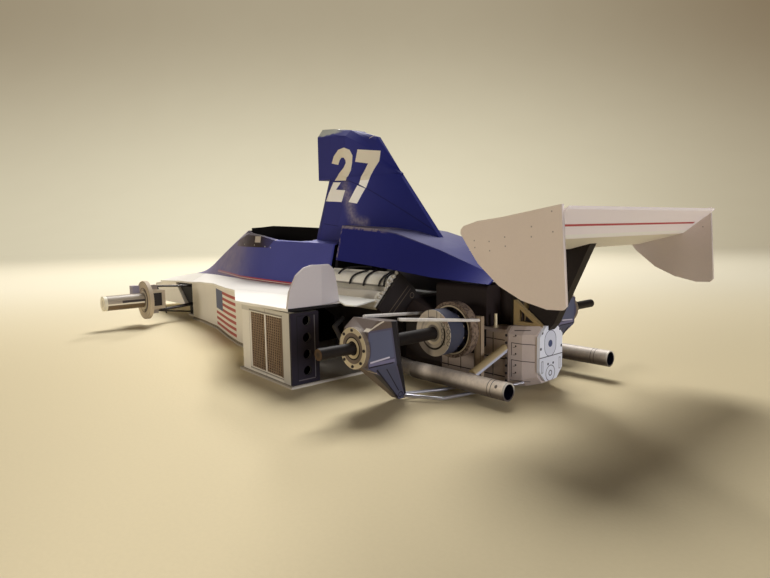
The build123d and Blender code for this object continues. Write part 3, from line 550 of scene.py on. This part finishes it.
def upright_card():
    finish = card("upright_card", ink(98, 84, 76), 0.1)
    x, z = finish.x, finish.z
    y = finish.out + finish.fall(finish.y, 0) * RIGHT_SHIFT
    # The rear face is blue-grey: a panel above, a leg with its own panel below, lines between the two.
    rear = finish.fall(x, -0.6, 0.2)
    margin = y + x * UPRIGHT_FLARE - z * UPRIGHT_LEAN
    finish.paint(finish.band(y, 20, 30.32) * rear * finish.fall(z, 12.5), ink(84, 82, 104))
    within = finish.rise(margin, 20.36) * finish.fall(y, 29.95)
    finish.paint(within * finish.band(z, 7.9, 12.2) * rear, ink(92, 96, 120))
    # Painted light: a paler lilac band under the upper panel, on its lit ledge.
    finish.paint(within * finish.band(z, 7.15, 7.65) * rear, ink(120, 116, 144))
    leg = within * finish.fall(z, 6.9) * finish.rise(z * 1.02 - y, -21.7, 0.1)
    finish.paint(leg * rear, ink(76, 78, 98))
    # Painted shadow: dark lines under the upper panel and along the leg's panel; also the outline of a round
    # bolt at the foot.
    lines = finish.either(
        finish.stroke(y, z, (30.0, 7.05), (25.2, 7.05), 0.2),
        finish.stroke(y, z, (28.4, 6.4), (23.0, 0.9), 0.3),
        finish.stroke(y, z, (26.4, 6.2), (22.9, 2.0), 0.16), finish.ring(y, z, (22.3, 1.2), 0.42, 0.16))
    finish.paint(lines * rear, ink(30, 26, 38))
    # Painted highlight: a bright line along the ledge under the upper panel.
    finish.paint(finish.stroke(y, z, (29.65, 7.75), (26.0, 8.0), 0.24) * rear, ink(206, 200, 214))
    # Painted highlights: pale lines along the leg's lower edge and along the top.
    lower_edge_highlight = finish.stroke(y, z, (28.6, 6.0), (22.9, 0.5), 0.16) * finish.fall(x, -0.3, 0.1)
    finish.paint(lower_edge_highlight, ink(186, 170, 146))
    top_edge_highlight = finish.stroke(y, z, (30.3, 12.5), (27.25, 13.67), 0.26) * finish.fall(x, -1.8, 0.2)
    finish.paint(top_edge_highlight, ink(214, 204, 188))
    # The cut inner side is painted dark: painted shade.
    inner = finish.fall(y - abs(x) * UPRIGHT_FLARE - z * UPRIGHT_LEAN, UPRIGHT_INNER + 0.034, 0.04)
    finish.paint(inner, ink(30, 26, 32))
    # The round flange round the axle, on the outer side.
    away = finish.far(x, z, (0.0, REAR_Z))
    flange = finish.rise(y, 30.2, 0.1) * finish.fall(away, 3.25, 0.1)
    finish.paint(flange, ink(120, 106, 92))
    finish.paint(flange * finish.rise(y, 30.94, 0.04), ink(200, 186, 158))
    face = flange * finish.rise(y, 30.94, 0.04) * finish.fall(away, 2.35)
    # Painted shade: two darker rings round the hole, the shade in the flange's recess; inside them the pale
    # card of the hole's wall.
    finish.paint(face, ink(112, 98, 88))
    finish.paint(face * finish.fall(away, 1.78), ink(34, 28, 28))
    finish.paint(face * finish.fall(away, 1.55), ink(206, 190, 156))
    finish.paint(finish.rise(y, 30.2, 0.1) * finish.rise(away, 3.3, 0.1) * 0.8, ink(80, 66, 58))
    return finish.done()


def black_stick():
    finish = Finish("black_stick", ink(26, 20, 18), 0.6, specular=0.25)
    grain = finish.noise(0.5, 3)
    finish.shade(0.8 + grain * 0.6)
    # The cut end shows the bare wood and its rings.
    end = finish.rise(finish.out, 37.12, 0.04)
    rings = finish.calc("SINE", finish.far(finish.x, finish.z, (0.5, REAR_Z + 0.6)) * 16)
    finish.paint(end, ink(74, 52, 28))
    finish.paint(end * (rings * 0.5 + 0.5) * 0.5, ink(72, 50, 30))
    pith = finish.dot(finish.x, finish.z, (0, REAR_Z), 0.4, 0.4)
    finish.paint(end * pith * 0.8, ink(34, 24, 18))
    return finish.raised(grain * 0.02).done()


def pipe_silver():
    finish = Finish("pipe_silver_card", ink(250, 238, 224), 0.5, 0.1)
    x = finish.x
    right = finish.fall(finish.y, 0, 0.2)
    # Cloudy tone; and painted shade: the right pipe is two fifths darker than the left.
    finish.shade((0.66 + finish.noise(0.9, 4, 0.7) * 0.68) * (1 - right * 0.4))
    tip = x + right * 2.5
    lines = finish.band(tip, -11.95, -11.83) | finish.band(tip, -12.6, -12.48)
    lines = lines | finish.dot(tip, finish.z, (-13.5, 3.3), 0.24) * finish.rise(finish.out, PIPE_Y)
    finish.paint(lines * 0.85, ink(54, 46, 48))
    finish.paint(finish.band(tip, -15.1, -14.75), ink(214, 208, 198))
    # Painted shade: the underside of each pipe is painted darker.
    low = finish.z - (2.5 + right * 1.3)
    finish.paint(finish.fall(low, 0.1, 1.4) * 0.9, ink(48, 34, 34))
    finish.paint(finish.rise(x, 2.6, 3.0) * 0.8, ink(40, 30, 28))
    bore = finish.dot(finish.out - PIPE_Y, low, (0, 0), 1.22, 0.04)
    finish.paint(bore * finish.fall(tip, -3.5, 0.1), ink(14, 14, 34))
    return finish.raised(finish.noise(0.3) * 0.03).done()


def bare_metal(name, colour, roughness=0.28, metallic=0.9):
    finish = Finish(name, colour, roughness, metallic)
    finish.shade(0.8 + finish.noise(0.8, 3) * 0.4)
    return finish.raised(finish.noise(0.3) * 0.02).done()


def front_print():
    finish = card("front_disc_card", ink(200, 184, 160), 0.08)
    x, z = finish.x, finish.z
    away = finish.far(x, z, (FRONT_X, FRONT_Z))
    finish.paint(finish.band(away, 3.4, 3.6) | finish.band(away, 5.25, 5.35), ink(110, 96, 84))
    turned = finish.fall(x, FRONT_X - 0.3, 1.0)
    finish.paint(finish.band(away, 2.7, 3.5, 0.2) * turned * 0.85, ink(66, 54, 50))
    finish.paint(finish.band(away, 2.2, 2.6, 0.2) * 0.6, ink(232, 224, 206))
    finish.paint(finish.rise(finish.out, 25.15, 0.02), ink(158, 152, 166))
    return finish.done()


def front_upright_card():
    finish = card("front_upright_card", ink(196, 182, 160), 0.1)
    inset = finish.box(finish.out, finish.z, (20.4, 23.2), (5.6, 9.4))
    finish.paint(inset * finish.fall(finish.x, 104.4, 0.1), ink(44, 38, 40))
    finish.paint(finish.rise(abs(finish.z - FRONT_Z), 3.0, 0.1) * 0.7, ink(120, 112, 112))
    return finish.done()


def sleeve_card():
    finish = card("front_sleeve_card", ink(168, 156, 138), 0.08, 0.4, 0.6)
    above = finish.z - FRONT_Z
    # Below the dark slot: a bright line along a crease, a painted highlight, and under it the underside
    # painted darker, painted shade.
    finish.paint(finish.fall(above, -0.45, 0.3), ink(112, 92, 66))
    finish.paint(finish.band(above, -0.5, -0.1, 0.15) * 0.9, ink(255, 246, 222))
    slot = finish.box(finish.out, above, (24, 31.6), (-0.05, 0.6), 0.2) * finish.fall(finish.x, FRONT_X)
    finish.paint(slot, ink(44, 32, 26))
    finish.paint(finish.rise(finish.out, 35.4, 0.1), ink(238, 230, 204))
    bore = finish.fall(finish.far(finish.x, finish.z, (FRONT_X, FRONT_Z)), 1.0, 0.2)
    finish.paint(finish.rise(finish.out, 36.24, 0.02) * bore * 0.5, ink(176, 162, 150))
    return finish.done()


def wing_card():
    finish = card("wing_card", WHITE, 0.04)
    x, y, z = finish.x, finish.out, finish.z
    # Painted light: the flap, facing rearwards, is painted a lighter, cooler white than the main plane.
    flap = finish.fall(x, -25.2, 0.1)
    finish.paint(flap, ink(252, 244, 250))
    finish.paint(finish.band(z, 27.35, 27.62, 0.06) * flap * finish.fall(y, 20.9), ink(188, 70, 78))
    # Painted highlight: a bright band low on the flap, where it bends.
    finish.paint(finish.band(z, 25.75, 26.25, 0.2) * flap, ink(250, 248, 246))
    return finish.done()


def endplate_card():
    finish = card("wing_endplate_card", ink(234, 220, 212), 0.04)
    rivets = ((-16.5, 25.64), (-16.6, 24.71), (-19.0, 25.55), (-19.1, 24.34), (-21.5, 26.13),
              (-21.6, 24.97), (-25.5, 27.42), (-25.5, 26.18), (-28.3, 29.19), (-28.5, 26.78))
    for place in rivets:
        finish.paint(finish.dot(finish.x, finish.z, place, 0.1) * 0.7, ink(110, 100, 104))
    # Painted shade: the right endplate is painted darker than the left.
    finish.shade(1 - finish.fall(finish.y, 0) * 0.15)
    return finish.done()


def hanger_foil():
    finish = Finish("hanger_foil", ink(216, 220, 238), 0.5, 0.1)
    # Painted light: the upper part is painted warm and the lower part cool blue-white, as it is lit
    # differently above and below.
    above = finish.z - (6.9 - (finish.out - 4.2) * 0.41)
    finish.paint(finish.rise(above, 0.1, 0.5), ink(176, 156, 116))
    return finish.raised(finish.noise(0.3) * 0.02).done()


nose_finish = plain_white("nose_card")
FINISHES = {
    "side": white_side(), "deck": white_deck(), "nose": nose_finish, "nose_deck": nose_finish,
    "tub_front": tub_card(), "floor_pan": floor_card(), "cowl": blue_cowl(), "engine_cover": blue_cover(),
    "airbox": blue_fin(), "cockpit_liner": black_card("cockpit_card", ink(15, 12, 13), 0.8),
    "seat": black_card("seat_card", ink(20, 17, 19), 0.8), "bulkhead": black_card("bulkhead_card"),
    "radiator": pod_card(), "fence": card("fence_card", ink(216, 208, 208), 0.03).done(),
    "engine_block": block_card(), "cam_cover": cam_card(),
    "bellhousing": black_card("bellhousing_card", ink(58, 48, 44)),
    "gearbox_case": gearbox_print(), "gearbox_rear": gearbox_end(),
    "oil_tank": black_card("tank_card", ink(44, 34, 32)),
    "breather_pin": bare_metal("pin_metal", ink(220, 205, 170), 0.4, 0.3),
    "wing_plane": wing_card(), "wing_endplate": endplate_card(),
    "wing_pylon": black_card("pylon_card", ink(30, 22, 20)),
    "pylon_truss": card("truss_card", ink(158, 136, 94), 0.1).done(),
    "rear_brake": brake_print(), "rear_upright": upright_card(), "rear_shaft": black_stick(),
    "rear_upper_links": bare_metal("upper_link_wire", ink(232, 226, 218), 0.4, 0.0),
    "rear_lower_links": bare_metal("lower_link_wire", ink(204, 204, 214)),
    "exhaust": pipe_silver(), "manifold": bare_metal("manifold_metal", ink(150, 142, 136), 0.3, 0.7),
    "exhaust_hanger": hanger_foil(), "front_arms": bare_metal("front_arm_wire", ink(52, 46, 46), 0.4, 0.3),
    "front_hub": sleeve_card(), "front_disc": front_print(), "front_upright": front_upright_card(),
}
for name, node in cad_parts.items():
    kind = name.replace("_left", "").replace("_right", "")
    node.data.materials.clear()
    node.data.materials.append(FINISHES[kind])


# Pieces modelled here.

def only(piece):
    """Makes a piece the only one selected."""
    bpy.ops.object.select_all(action="DESELECT")
    bpy.context.view_layer.objects.active = piece
    piece.select_set(True)


@contextmanager
def editing(piece, parts=None, wanted=None):
    """Edit mode on one piece: all of it selected, or only the wanted of its vertices, edges or polygons."""
    only(piece)
    bpy.ops.object.mode_set(mode="EDIT")
    bpy.ops.mesh.select_all(action="DESELECT" if parts else "SELECT")
    if parts:
        bpy.ops.object.mode_set(mode="OBJECT")
        for part in getattr(piece.data, parts):
            part.select = wanted(part)
        bpy.ops.object.mode_set(mode="EDIT")
    yield
    bpy.ops.object.mode_set(mode="OBJECT")


def apply_all(piece):
    """Applies a piece's modifiers in their order."""
    only(piece)
    for modifier in list(piece.modifiers):
        bpy.ops.object.modifier_apply(modifier=modifier.name)


def cleaned(piece):
    """Merges the points that lie together and turns the faces outwards."""
    with editing(piece):
        bpy.ops.mesh.remove_doubles(threshold=1e-6)
        bpy.ops.mesh.normals_make_consistent(inside=False)
    return piece


def on_side(points, side):
    """Points of the left side, for the left or the right side."""
    return [(x, side * y, z) for x, y, z in points]


def settle(piece, name, finish, body="car", smooth=None):
    """Names a finished piece, puts its place into its mesh and lets it ride on its body."""
    only(piece)
    bpy.ops.object.transform_apply(location=True, rotation=True, scale=True)
    piece.name = piece.data.name = name
    piece.data.materials.clear()
    piece.data.materials.append(finish)
    if smooth:
        bpy.ops.object.shade_smooth_by_angle(angle=math.radians(smooth))
    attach(piece, body)
    return piece


def flat_shape(outlines, half):
    """A filled flat shape, half its thickness given, lying on z=0 with its outlines drawn in x and y."""
    curve = bpy.data.curves.new("shape", "CURVE")
    curve.dimensions = "2D"
    curve.fill_mode = "BOTH"
    curve.extrude = half * MM
    for points in outlines:
        spline = curve.splines.new("POLY")
        spline.points.add(len(points) - 1)
        for point, (x, z) in zip(spline.points, points):
            point.co = ((x - MIDDLE) * MM, z * MM, 0, 1)
        spline.use_cyclic_u = True
    shape = bpy.data.objects.new("shape", curve)
    bpy.context.scene.collection.objects.link(shape)
    only(shape)
    bpy.ops.object.convert(target="MESH")
    return bpy.context.view_layer.objects.active


def stood_up(shape, y):
    """A flat shape turned up on its edge, y mm to the left."""
    shape.data.transform(Matrix.Rotation(math.pi / 2, 4, "X"))
    shape.data.transform(Matrix.Translation((0, y * MM, 0)))
    return shape


def tube(name, points, radius, finish, body="car"):
    """A bent wire through points, in car mm."""
    curve = bpy.data.curves.new(name, "CURVE")
    curve.dimensions = "3D"
    curve.bevel_depth = radius * MM
    curve.bevel_resolution = 3
    curve.resolution_u = 8
    curve.use_fill_caps = True
    spline = curve.splines.new("NURBS")
    spline.points.add(len(points) - 1)
    for point, place in zip(spline.points, points):
        point.co = (*at(*place), 1)
    spline.order_u = 3
    spline.use_endpoint_u = True
    piece = bpy.data.objects.new(name, curve)
    bpy.context.scene.collection.objects.link(piece)
    only(piece)
    bpy.ops.object.convert(target="MESH")
    return settle(bpy.context.view_layer.objects.active, name, finish, body, smooth=40)


# The race number, cut from thin card and glued to both flanks of the fin, above and below its fold.
TWO = [[(40.3, 41.9), (39.6, 43.4), (38.1, 44.7), (36.3, 45.0), (34.8, 44.4), (34.0, 43.1), (34.0, 41.5),
        (34.2, 39.9), (34.9, 38.7), (35.3, 37.8), (39.1, 38.0), (37.7, 39.5), (36.2, 40.6), (35.6, 41.6),
        (35.7, 42.2), (36.2, 42.8), (37.0, 42.9), (37.6, 42.4), (38.1, 41.4)],
       [(39.6, 37.7), (42.5, 33.6), (36.7, 33.2), (35.5, 35.7), (38.7, 36.0), (37.0, 37.5)]]
SEVEN = [[(32.8, 44.3), (27.4, 43.6), (27.3, 41.4), (28.3, 39.7), (29.3, 37.3), (29.9, 35.9), (31.7, 36.8),
          (31.1, 38.4), (29.9, 41.1), (33.2, 41.7)],
         [(32.1, 36.6), (34.6, 33.1), (32.3, 32.7), (30.1, 35.8)]]
number_card = card("number_card", ink(234, 224, 202), 0.04)
# Painted light: below the fold the number is painted lighter.
number_card.paint(number_card.fall(number_card.z, 37.6), ink(255, 252, 246))
number_finish = number_card.done()


def glued(outlines, carrier, side):
    """Card cut to the outlines, pressed on the carrier's flank and 0.06 mm thick."""
    start = side * 12
    shape = cleaned(stood_up(flat_shape(outlines, 0), start))
    # Cut into squares of a millimetre, so that it can follow the flank.
    with editing(shape):
        for step in range(24):
            for point, normal in ((at(23.5 + step, 0, 0), (1, 0, 0)), (at(0, 0, 28.5 + step), (0, 0, 1))):
                bpy.ops.mesh.select_all(action="SELECT")
                bpy.ops.mesh.bisect(plane_co=point, plane_no=normal)
    wrap = shape.modifiers.new("wrap", "SHRINKWRAP")
    wrap.wrap_method, wrap.target, wrap.use_project_y = "PROJECT", carrier, True
    wrap.use_negative_direction = wrap.use_positive_direction = True
    wrap.offset = 0.03 * MM
    apply_all(shape)
    # What missed the flank is still where it started, and goes.
    bpy.context.tool_settings.mesh_select_mode = (True, False, False)
    with editing(shape, "vertices", lambda vertex: abs(vertex.co.y) > (abs(start) - 1) * MM):
        bpy.ops.mesh.delete(type="VERT")
    bpy.context.tool_settings.mesh_select_mode = (False, False, True)
    wall = shape.modifiers.new("wall", "SOLIDIFY")
    wall.thickness, wall.offset = 0.06 * MM, 0.0
    apply_all(shape)
    return cleaned(shape)


# On the right flank the number runs the other way, so its outlines are mirrored about its middle.
number_xs = [x for outline in (*TWO, *SEVEN) for x, _ in outline]
number_middle = (min(number_xs) + max(number_xs)) / 2
for side, s in SIDES:
    for label, outlines in (("two", TWO), ("seven", SEVEN)):
        if s < 0:
            outlines = [[(2 * number_middle - x, z) for x, z in outline] for outline in outlines]
        digit = glued(outlines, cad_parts["airbox"], s)
        settle(digit, f"number_{label}_{side}", number_finish)


def narrowed(upright, side, shift):
    """Cuts the upright's inner side to a blunt edge, and lets panels into its rear faces."""
    cleaned(upright)
    edge = at(0, side * (UPRIGHT_INNER - shift), 0)
    for end in (-1, 1):
        slant = (-UPRIGHT_FLARE * end, side, -UPRIGHT_LEAN)
        with editing(upright):
            bpy.ops.mesh.bisect(plane_co=edge, plane_no=slant, use_fill=True, clear_inner=True)
    with editing(upright):
        bpy.ops.mesh.dissolve_limited(angle_limit=math.radians(1))
    with editing(upright, "polygons", lambda face: face.normal.x < -0.9 and face.area > 4 * MM * MM):
        bpy.ops.mesh.inset(thickness=0.35 * MM, depth=-0.14 * MM, use_individual=True)


for side, s in SIDES:
    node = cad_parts[f"rear_upright_{side}"]
    blank = node.copy()
    blank.data = node.data.copy()
    blank.parent = None
    bpy.context.scene.collection.objects.link(blank)
    narrowed(blank, s, 0 if s > 0 else RIGHT_SHIFT)
    settle(blank, f"upright_body_{side}", FINISHES["rear_upright"], smooth=30)
    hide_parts(f"rear_upright_{side}")

# Wing endplates with a rounded front corner.
PLATE = [(-14.05, 26.6), (-14.1, 27.1), (-14.6, 27.6), (-17.1, 28.25), (-20.8, 28.65), (-29.6, 30.0),
         (-30.4, 18.0), (-29.9, 17.5), (-27.8, 17.4), (-24.1, 18.2), (-20.6, 19.8), (-17.1, 22.6),
         (-15.0, 25.3)]
for side, s in SIDES:
    plate = cleaned(stood_up(flat_shape([PLATE], 0.25), s * ENDPLATE_Y))
    settle(plate, f"endplate_card_{side}", FINISHES["wing_endplate"])
    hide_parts(f"wing_endplate_{side}")

# White card beside each bank of the engine, standing out behind the deck.
TONGUE = [(30, 13.7), (14.7, 13.6), (11.5, 21.0), (13.6, 21.8), (18.5, 19.5), (30, 19.0)]
TONGUE_Z = 14.05
tongue_finish = plain_white("tongue_card", ink(248, 246, 236))
for side, s in SIDES:
    tongue = flat_shape([TONGUE], 0.14)
    tongue.data.transform(Matrix.Translation((0, 0, TONGUE_Z * MM)))
    tongue.data.transform(Matrix.Diagonal((1, s, 1, 1)))
    settle(cleaned(tongue), f"deck_tongue_{side}", tongue_finish)

# Fine wire mesh in the radiator openings.
mesh_finish = mesh_wire()
for side, s in SIDES:
    for label, (low, high) in (("rear", (21.0, 26.6)), ("front", (27.0, 32.6))):
        bpy.ops.object.select_all(action="DESELECT")
        bpy.ops.mesh.primitive_grid_add(x_subdivisions=8, y_subdivisions=23, size=1)
        grid = bpy.context.view_layer.objects.active
        grid.scale = ((high - low) * MM, 10.6 * MM, 1)
        bpy.ops.object.transform_apply(scale=True, location=False, rotation=False)
        wires = grid.modifiers.new("wires", "WIREFRAME")
        wires.thickness, wires.use_even_offset, wires.use_boundary = 0.17 * MM, False, True
        apply_all(grid)
        middle = (low + high) / 2
        y = POD_OUTER - POD_TAPER * (middle - BAY_REAR) - 0.18
        lean = -s * math.atan(POD_TAPER)
        grid.rotation_euler = (math.pi / 2, 0, lean)
        grid.location = at(middle, s * y, 6.7)
        settle(grid, f"radiator_mesh_{label}_{side}", mesh_finish)

# Ignition leads over the left and right heads.
lead_finish = Finish("ignition_lead", ink(22, 20, 22), 0.4)
lead_finish.shade(0.8 + lead_finish.noise(0.6) * 0.5)
lead_finish = lead_finish.raised(lead_finish.noise(0.3) * 0.02).done()
LEADS = (
    [(30.3, 10.6, 18.0), (30.0, 10.2, 18.8), (28.3, 8.6, 19.6), (24.7, 6.4, 19.4)],
    [(26.0, 11.1, 16.3), (25.3, 11.4, 17.2), (24.6, 11.0, 18.1), (23.3, 9.4, 18.9), (22.8, 6.4, 19.0)],
    [(21.6, 11.1, 16.2), (20.9, 11.4, 17.3), (20.5, 10.6, 18.4), (20.4, 9.0, 19.0), (21.1, 6.6, 19.3)],
    [(16.9, 11.1, 16.4), (16.4, 11.4, 17.1), (15.9, 10.6, 18.3), (15.7, 9.2, 18.9), (17.2, 6.8, 19.1)],
    [(15.5, 11.1, 16.5), (15.1, 11.3, 17.6), (15.0, 9.8, 18.8), (15.9, 7.2, 18.9)],
)
for side, s in SIDES:
    for i, points in enumerate(LEADS, 1):
        tube(f"ignition_lead_{i}_{side}", on_side(points, s), 0.2, lead_finish)

# Two more wires at each front corner: a strut across it and a lower link.
STRUT = [(105.6, 22.1, 11.7), (105.6, 18.7, 3.0)]
LOWER_LINK = [(105.6, 20.4, 3.9), (109.8, 8.4, 1.9)]
for side, s in SIDES:
    for label, points in (("strut", STRUT), ("lower_link", LOWER_LINK)):
        tube(f"front_{label}_{side}", on_side(points, s), 0.22, FINISHES["front_arms"])


def bolt(radius, height):
    """A six-sided bolt head with a turned-down top, standing on z=0."""
    bpy.ops.object.select_all(action="DESELECT")
    bpy.ops.mesh.primitive_cylinder_add(vertices=6, radius=radius * MM, depth=height * MM,
                                        location=(0, 0, height / 2 * MM))
    head = bpy.context.view_layer.objects.active
    bpy.ops.object.transform_apply(location=True)
    with editing(head, "polygons", lambda face: face.normal.z > 0.9):
        bpy.ops.mesh.inset(thickness=radius * 0.25 * MM, depth=0)
        bpy.ops.transform.translate(value=(0, 0, height * 0.2 * MM))
    return head


def bolts(name, places, normal, radius, height, finish, body="car", slot="grey_card"):
    """The same bolt at several places, as one piece."""
    first = bolt(radius, height)
    turn = Vector((0, 0, 1)).rotation_difference(Vector(normal)).to_matrix().to_4x4()
    heads = []
    for place in places:
        head = first.copy()
        head.data = first.data.copy()
        bpy.context.scene.collection.objects.link(head)
        head.data.transform(Matrix.Translation(at(*place)) @ turn)
        heads.append(head)
    bpy.data.objects.remove(first)
    bpy.ops.object.select_all(action="DESELECT")
    for head in heads:
        head.select_set(True)
    bpy.context.view_layer.objects.active = heads[0]
    bpy.ops.object.join()
    return settle(bpy.context.view_layer.objects.active, name, finish, body)


dark_bolt = bare_metal("dark_bolt", ink(46, 40, 42), 0.4, 0.3)
pale_bolt = bare_metal("pale_bolt", ink(226, 218, 202), 0.45, 0.1)
BOLT_CIRCLE = 2.75
TURNS = [i * math.pi / 4 for i in range(8)]
for side, s in SIDES:
    face = FLANGE_Y - (0 if s > 0 else RIGHT_SHIFT)
    ring = [(BOLT_CIRCLE * math.sin(turn), s * face, REAR_Z + BOLT_CIRCLE * math.cos(turn)) for turn in TURNS]
    bolts(f"flange_bolts_{side}", ring, (0, s, 0), 0.24, 0.18, dark_bolt)
    edge = [(14.3, s * (8.6 + 5.1 * t / 7), 18.75 - 5.1 * t / 7) for t in range(8)]
    bolts(f"head_studs_{side}", edge, (0, s * 0.73, 0.68), 0.3, 0.5, pale_bolt, slot="white_card")
    strip = [(16.2 + 2.3 * i, s * 10.95, 15.55) for i in range(8)]
    bolts(f"cam_bolts_{side}", strip, (0, s * 0.73, 0.68), 0.26, 0.35, pale_bolt, slot="white_card")
    wall = [(GEAR_FLANGE_X + 0.3, s * 4.5, 1.4 + 1.3 * i) for i in range(7)]
    bolts(f"gearbox_bolts_{side}", wall, (0, s, 0), 0.24, 0.2, dark_bolt)

# Camera, where the photograph was taken from: its turn, tilt and roll in radians, its focal length in pixels.
YAW, PITCH, ROLL = -0.72001, 0.10770, 0.01640
EYE = at(-67.467, 83.533, 27.795)
PHOTO_WIDTH, FOCAL_PIXELS = 770, 583.749

# Stage: one sheet of warm cream paper, curved up behind the car. Lengths in metres.
SHEET, CURVE_START, CURVE_RADIUS, WALL = 2.4, 0.5, 0.6, 0.9
level = Vector((math.cos(YAW), math.sin(YAW), 0))
sideways = Vector((math.sin(YAW), -math.cos(YAW), 0))
bpy.ops.object.select_all(action="DESELECT")
bpy.ops.mesh.primitive_plane_add(size=SHEET, location=(0, CURVE_START - SHEET / 2, 0))
bpy.ops.object.transform_apply(location=True)
sweep = bpy.context.view_layer.objects.active


def where_it_curves(edge):
    """Whether this is the far edge of the flat sheet."""
    return all(sweep.data.vertices[v].co.y > CURVE_START - 0.1 for v in edge.vertices)


with editing(sweep, "edges", where_it_curves):
    bpy.ops.mesh.spin(steps=32, angle=-math.pi / 2, center=(0, CURVE_START, CURVE_RADIUS), axis=(1, 0, 0))
    bpy.ops.mesh.extrude_region_move(TRANSFORM_OT_translate={"value": (0, 0, WALL)})
    bpy.ops.mesh.select_all(action="SELECT")
    bpy.ops.mesh.remove_doubles(threshold=1e-5)
    bpy.ops.mesh.normals_make_consistent(inside=False)
sweep.matrix_world = Matrix((
    (sideways.x, level.x, 0, 0), (sideways.y, level.y, 0, 0), (0, 0, 1, 0), (0, 0, 0, 1)))
only(sweep)
bpy.ops.object.transform_apply(location=True, rotation=True, scale=True)
bpy.ops.object.shade_smooth()
sweep.name = "paper_sweep"
paper = Finish("cream_paper", ink(231, 223, 199), 0.8, specular=0.15)
# Metres from the camera along the line of sight, and how far aside: the sheet is painted darker towards its
# edges, painted shade.
CAMERA_BACK = 0.151
away = (paper.x * level.x + paper.y * level.y) * MM + (CAMERA_BACK - MIDDLE * MM * level.x)
aside = ((paper.x - MIDDLE) * sideways.x + paper.y * sideways.y) * MM / paper.calc("MAXIMUM", away, 0.03)
edges = (1 - paper.rise(aside, 0.43, 0.8) * 0.47) * (1 - paper.rise(0 - aside, 0.45, 0.6) * 0.2)
grain = 1 + (paper.noise(60, 2) - 0.5) * 0.03 + (paper.noise(0.5, 2) - 0.5) * 0.05
near = paper.fall(away, 0.2, 0.2)
paper.paint(near, ink(231, 216, 178))
# Painted shade: the floor is darker towards its sides and a little darker nearest the camera.
floor_edges = (1 - paper.rise(aside, 0.43, 0.8) * 0.3) * (1 - paper.rise(0 - aside, 0.3, 0.5) * 0.14 * near)
paper.shade(floor_edges * grain * (0.93 + paper.rise(away, 0.1, 0.2) * 0.07))
paper.raised(paper.noise(0.6, 2) * 0.03)
sweep.data.materials.append(paper.done())
# Up the curve the sheet shows its own light, fading towards the top.
glow = paper.node("ShaderNodeEmission")
tone = edges * (1 - paper.rise(paper.z * MM, 0.24, 0.5) * 0.5) * grain
backdrop = paper.node("ShaderNodeMix", dict(data_type="RGBA"))
paper.tree.links.new(((tone * 0.80 - 0.19) / 0.61).socket, backdrop.inputs[0])
backdrop.inputs[6].default_value, backdrop.inputs[7].default_value = ink(121, 104, 80), ink(231, 222, 193)
paper.tree.links.new(backdrop.outputs[2], glow.inputs[0])
seen = paper.node("ShaderNodeLightPath").outputs
seen = Number(paper, seen["Is Camera Ray"]) | Number(paper, seen["Is Glossy Ray"]) | Number(
    paper, seen["Is Transmission Ray"])
both = paper.node("ShaderNodeMixShader", inputs=(paper.rise(away, 0.5, 0.34) * seen,))
paper.tree.links.new(paper.shader.outputs[0], both.inputs[1])
paper.tree.links.new(glow.outputs[0], both.inputs[2])
paper.tree.links.new(both.outputs[0], paper.tree.nodes["Material Output"].inputs[0])


def lamp(name, aim, direction, distance, size, watts, colour):
    """A round lamp in a direction from what it is aimed at, with its sizes in metres."""
    data = bpy.data.lights.new(name, "AREA")
    data.shape, data.size, data.energy, data.color = "DISK", size, watts, colour
    light = bpy.data.objects.new(name, data)
    towards = Vector(direction).normalized()
    light.location = aim + towards * distance
    light.rotation_euler = (-towards).to_track_quat("-Z", "Y").to_euler()
    bpy.context.scene.collection.objects.link(light)


# A high soft key and a low one from the front right, and two weak fills near the table.
centre = at(30, 0, 10)
lamp("key", centre, (0.47, -0.44, 1.0), 0.68, 0.34, 4.9, (1.0, 0.98, 0.95))
lamp("low_key", centre, (1.6, -1.15, 1.0), 0.75, 0.1, 1.6, (1.0, 0.97, 0.92))
lamp("fill", centre, (0.15, 1.0, 0.16), 0.7, 0.2, 0.92, (1.0, 0.92, 0.80))
lamp("back_fill", centre, (-1.0, 0.15, 0.16), 0.7, 0.2, 1.8, (0.90, 0.92, 1.0))
world = bpy.data.worlds.new("room")
world.use_nodes = True
world.node_tree.nodes["Background"].inputs[0].default_value = (1.0, 0.74, 0.50, 1)
world.node_tree.nodes["Background"].inputs[1].default_value = 0.05
bpy.context.scene.world = world

sight = Vector((math.cos(PITCH) * math.cos(YAW), math.cos(PITCH) * math.sin(YAW), -math.sin(PITCH)))
right = sideways
down = sight.cross(right)
across = right * math.cos(ROLL) + down * math.sin(ROLL)
upward = right * math.sin(ROLL) - down * math.cos(ROLL)
lens = bpy.data.cameras.new("camera")
lens.sensor_width, lens.sensor_fit = 36, "HORIZONTAL"
lens.lens = FOCAL_PIXELS * lens.sensor_width / PHOTO_WIDTH
lens.clip_start, lens.clip_end = 0.002, 20
camera = bpy.data.objects.new("camera", lens)
camera.matrix_world = Matrix((
    (across.x, upward.x, -sight.x, EYE.x), (across.y, upward.y, -sight.y, EYE.y),
    (across.z, upward.z, -sight.z, EYE.z), (0, 0, 0, 1)))
bpy.context.scene.collection.objects.link(camera)
bpy.context.scene.camera = camera
bpy.context.scene.view_settings.view_transform = "Standard"
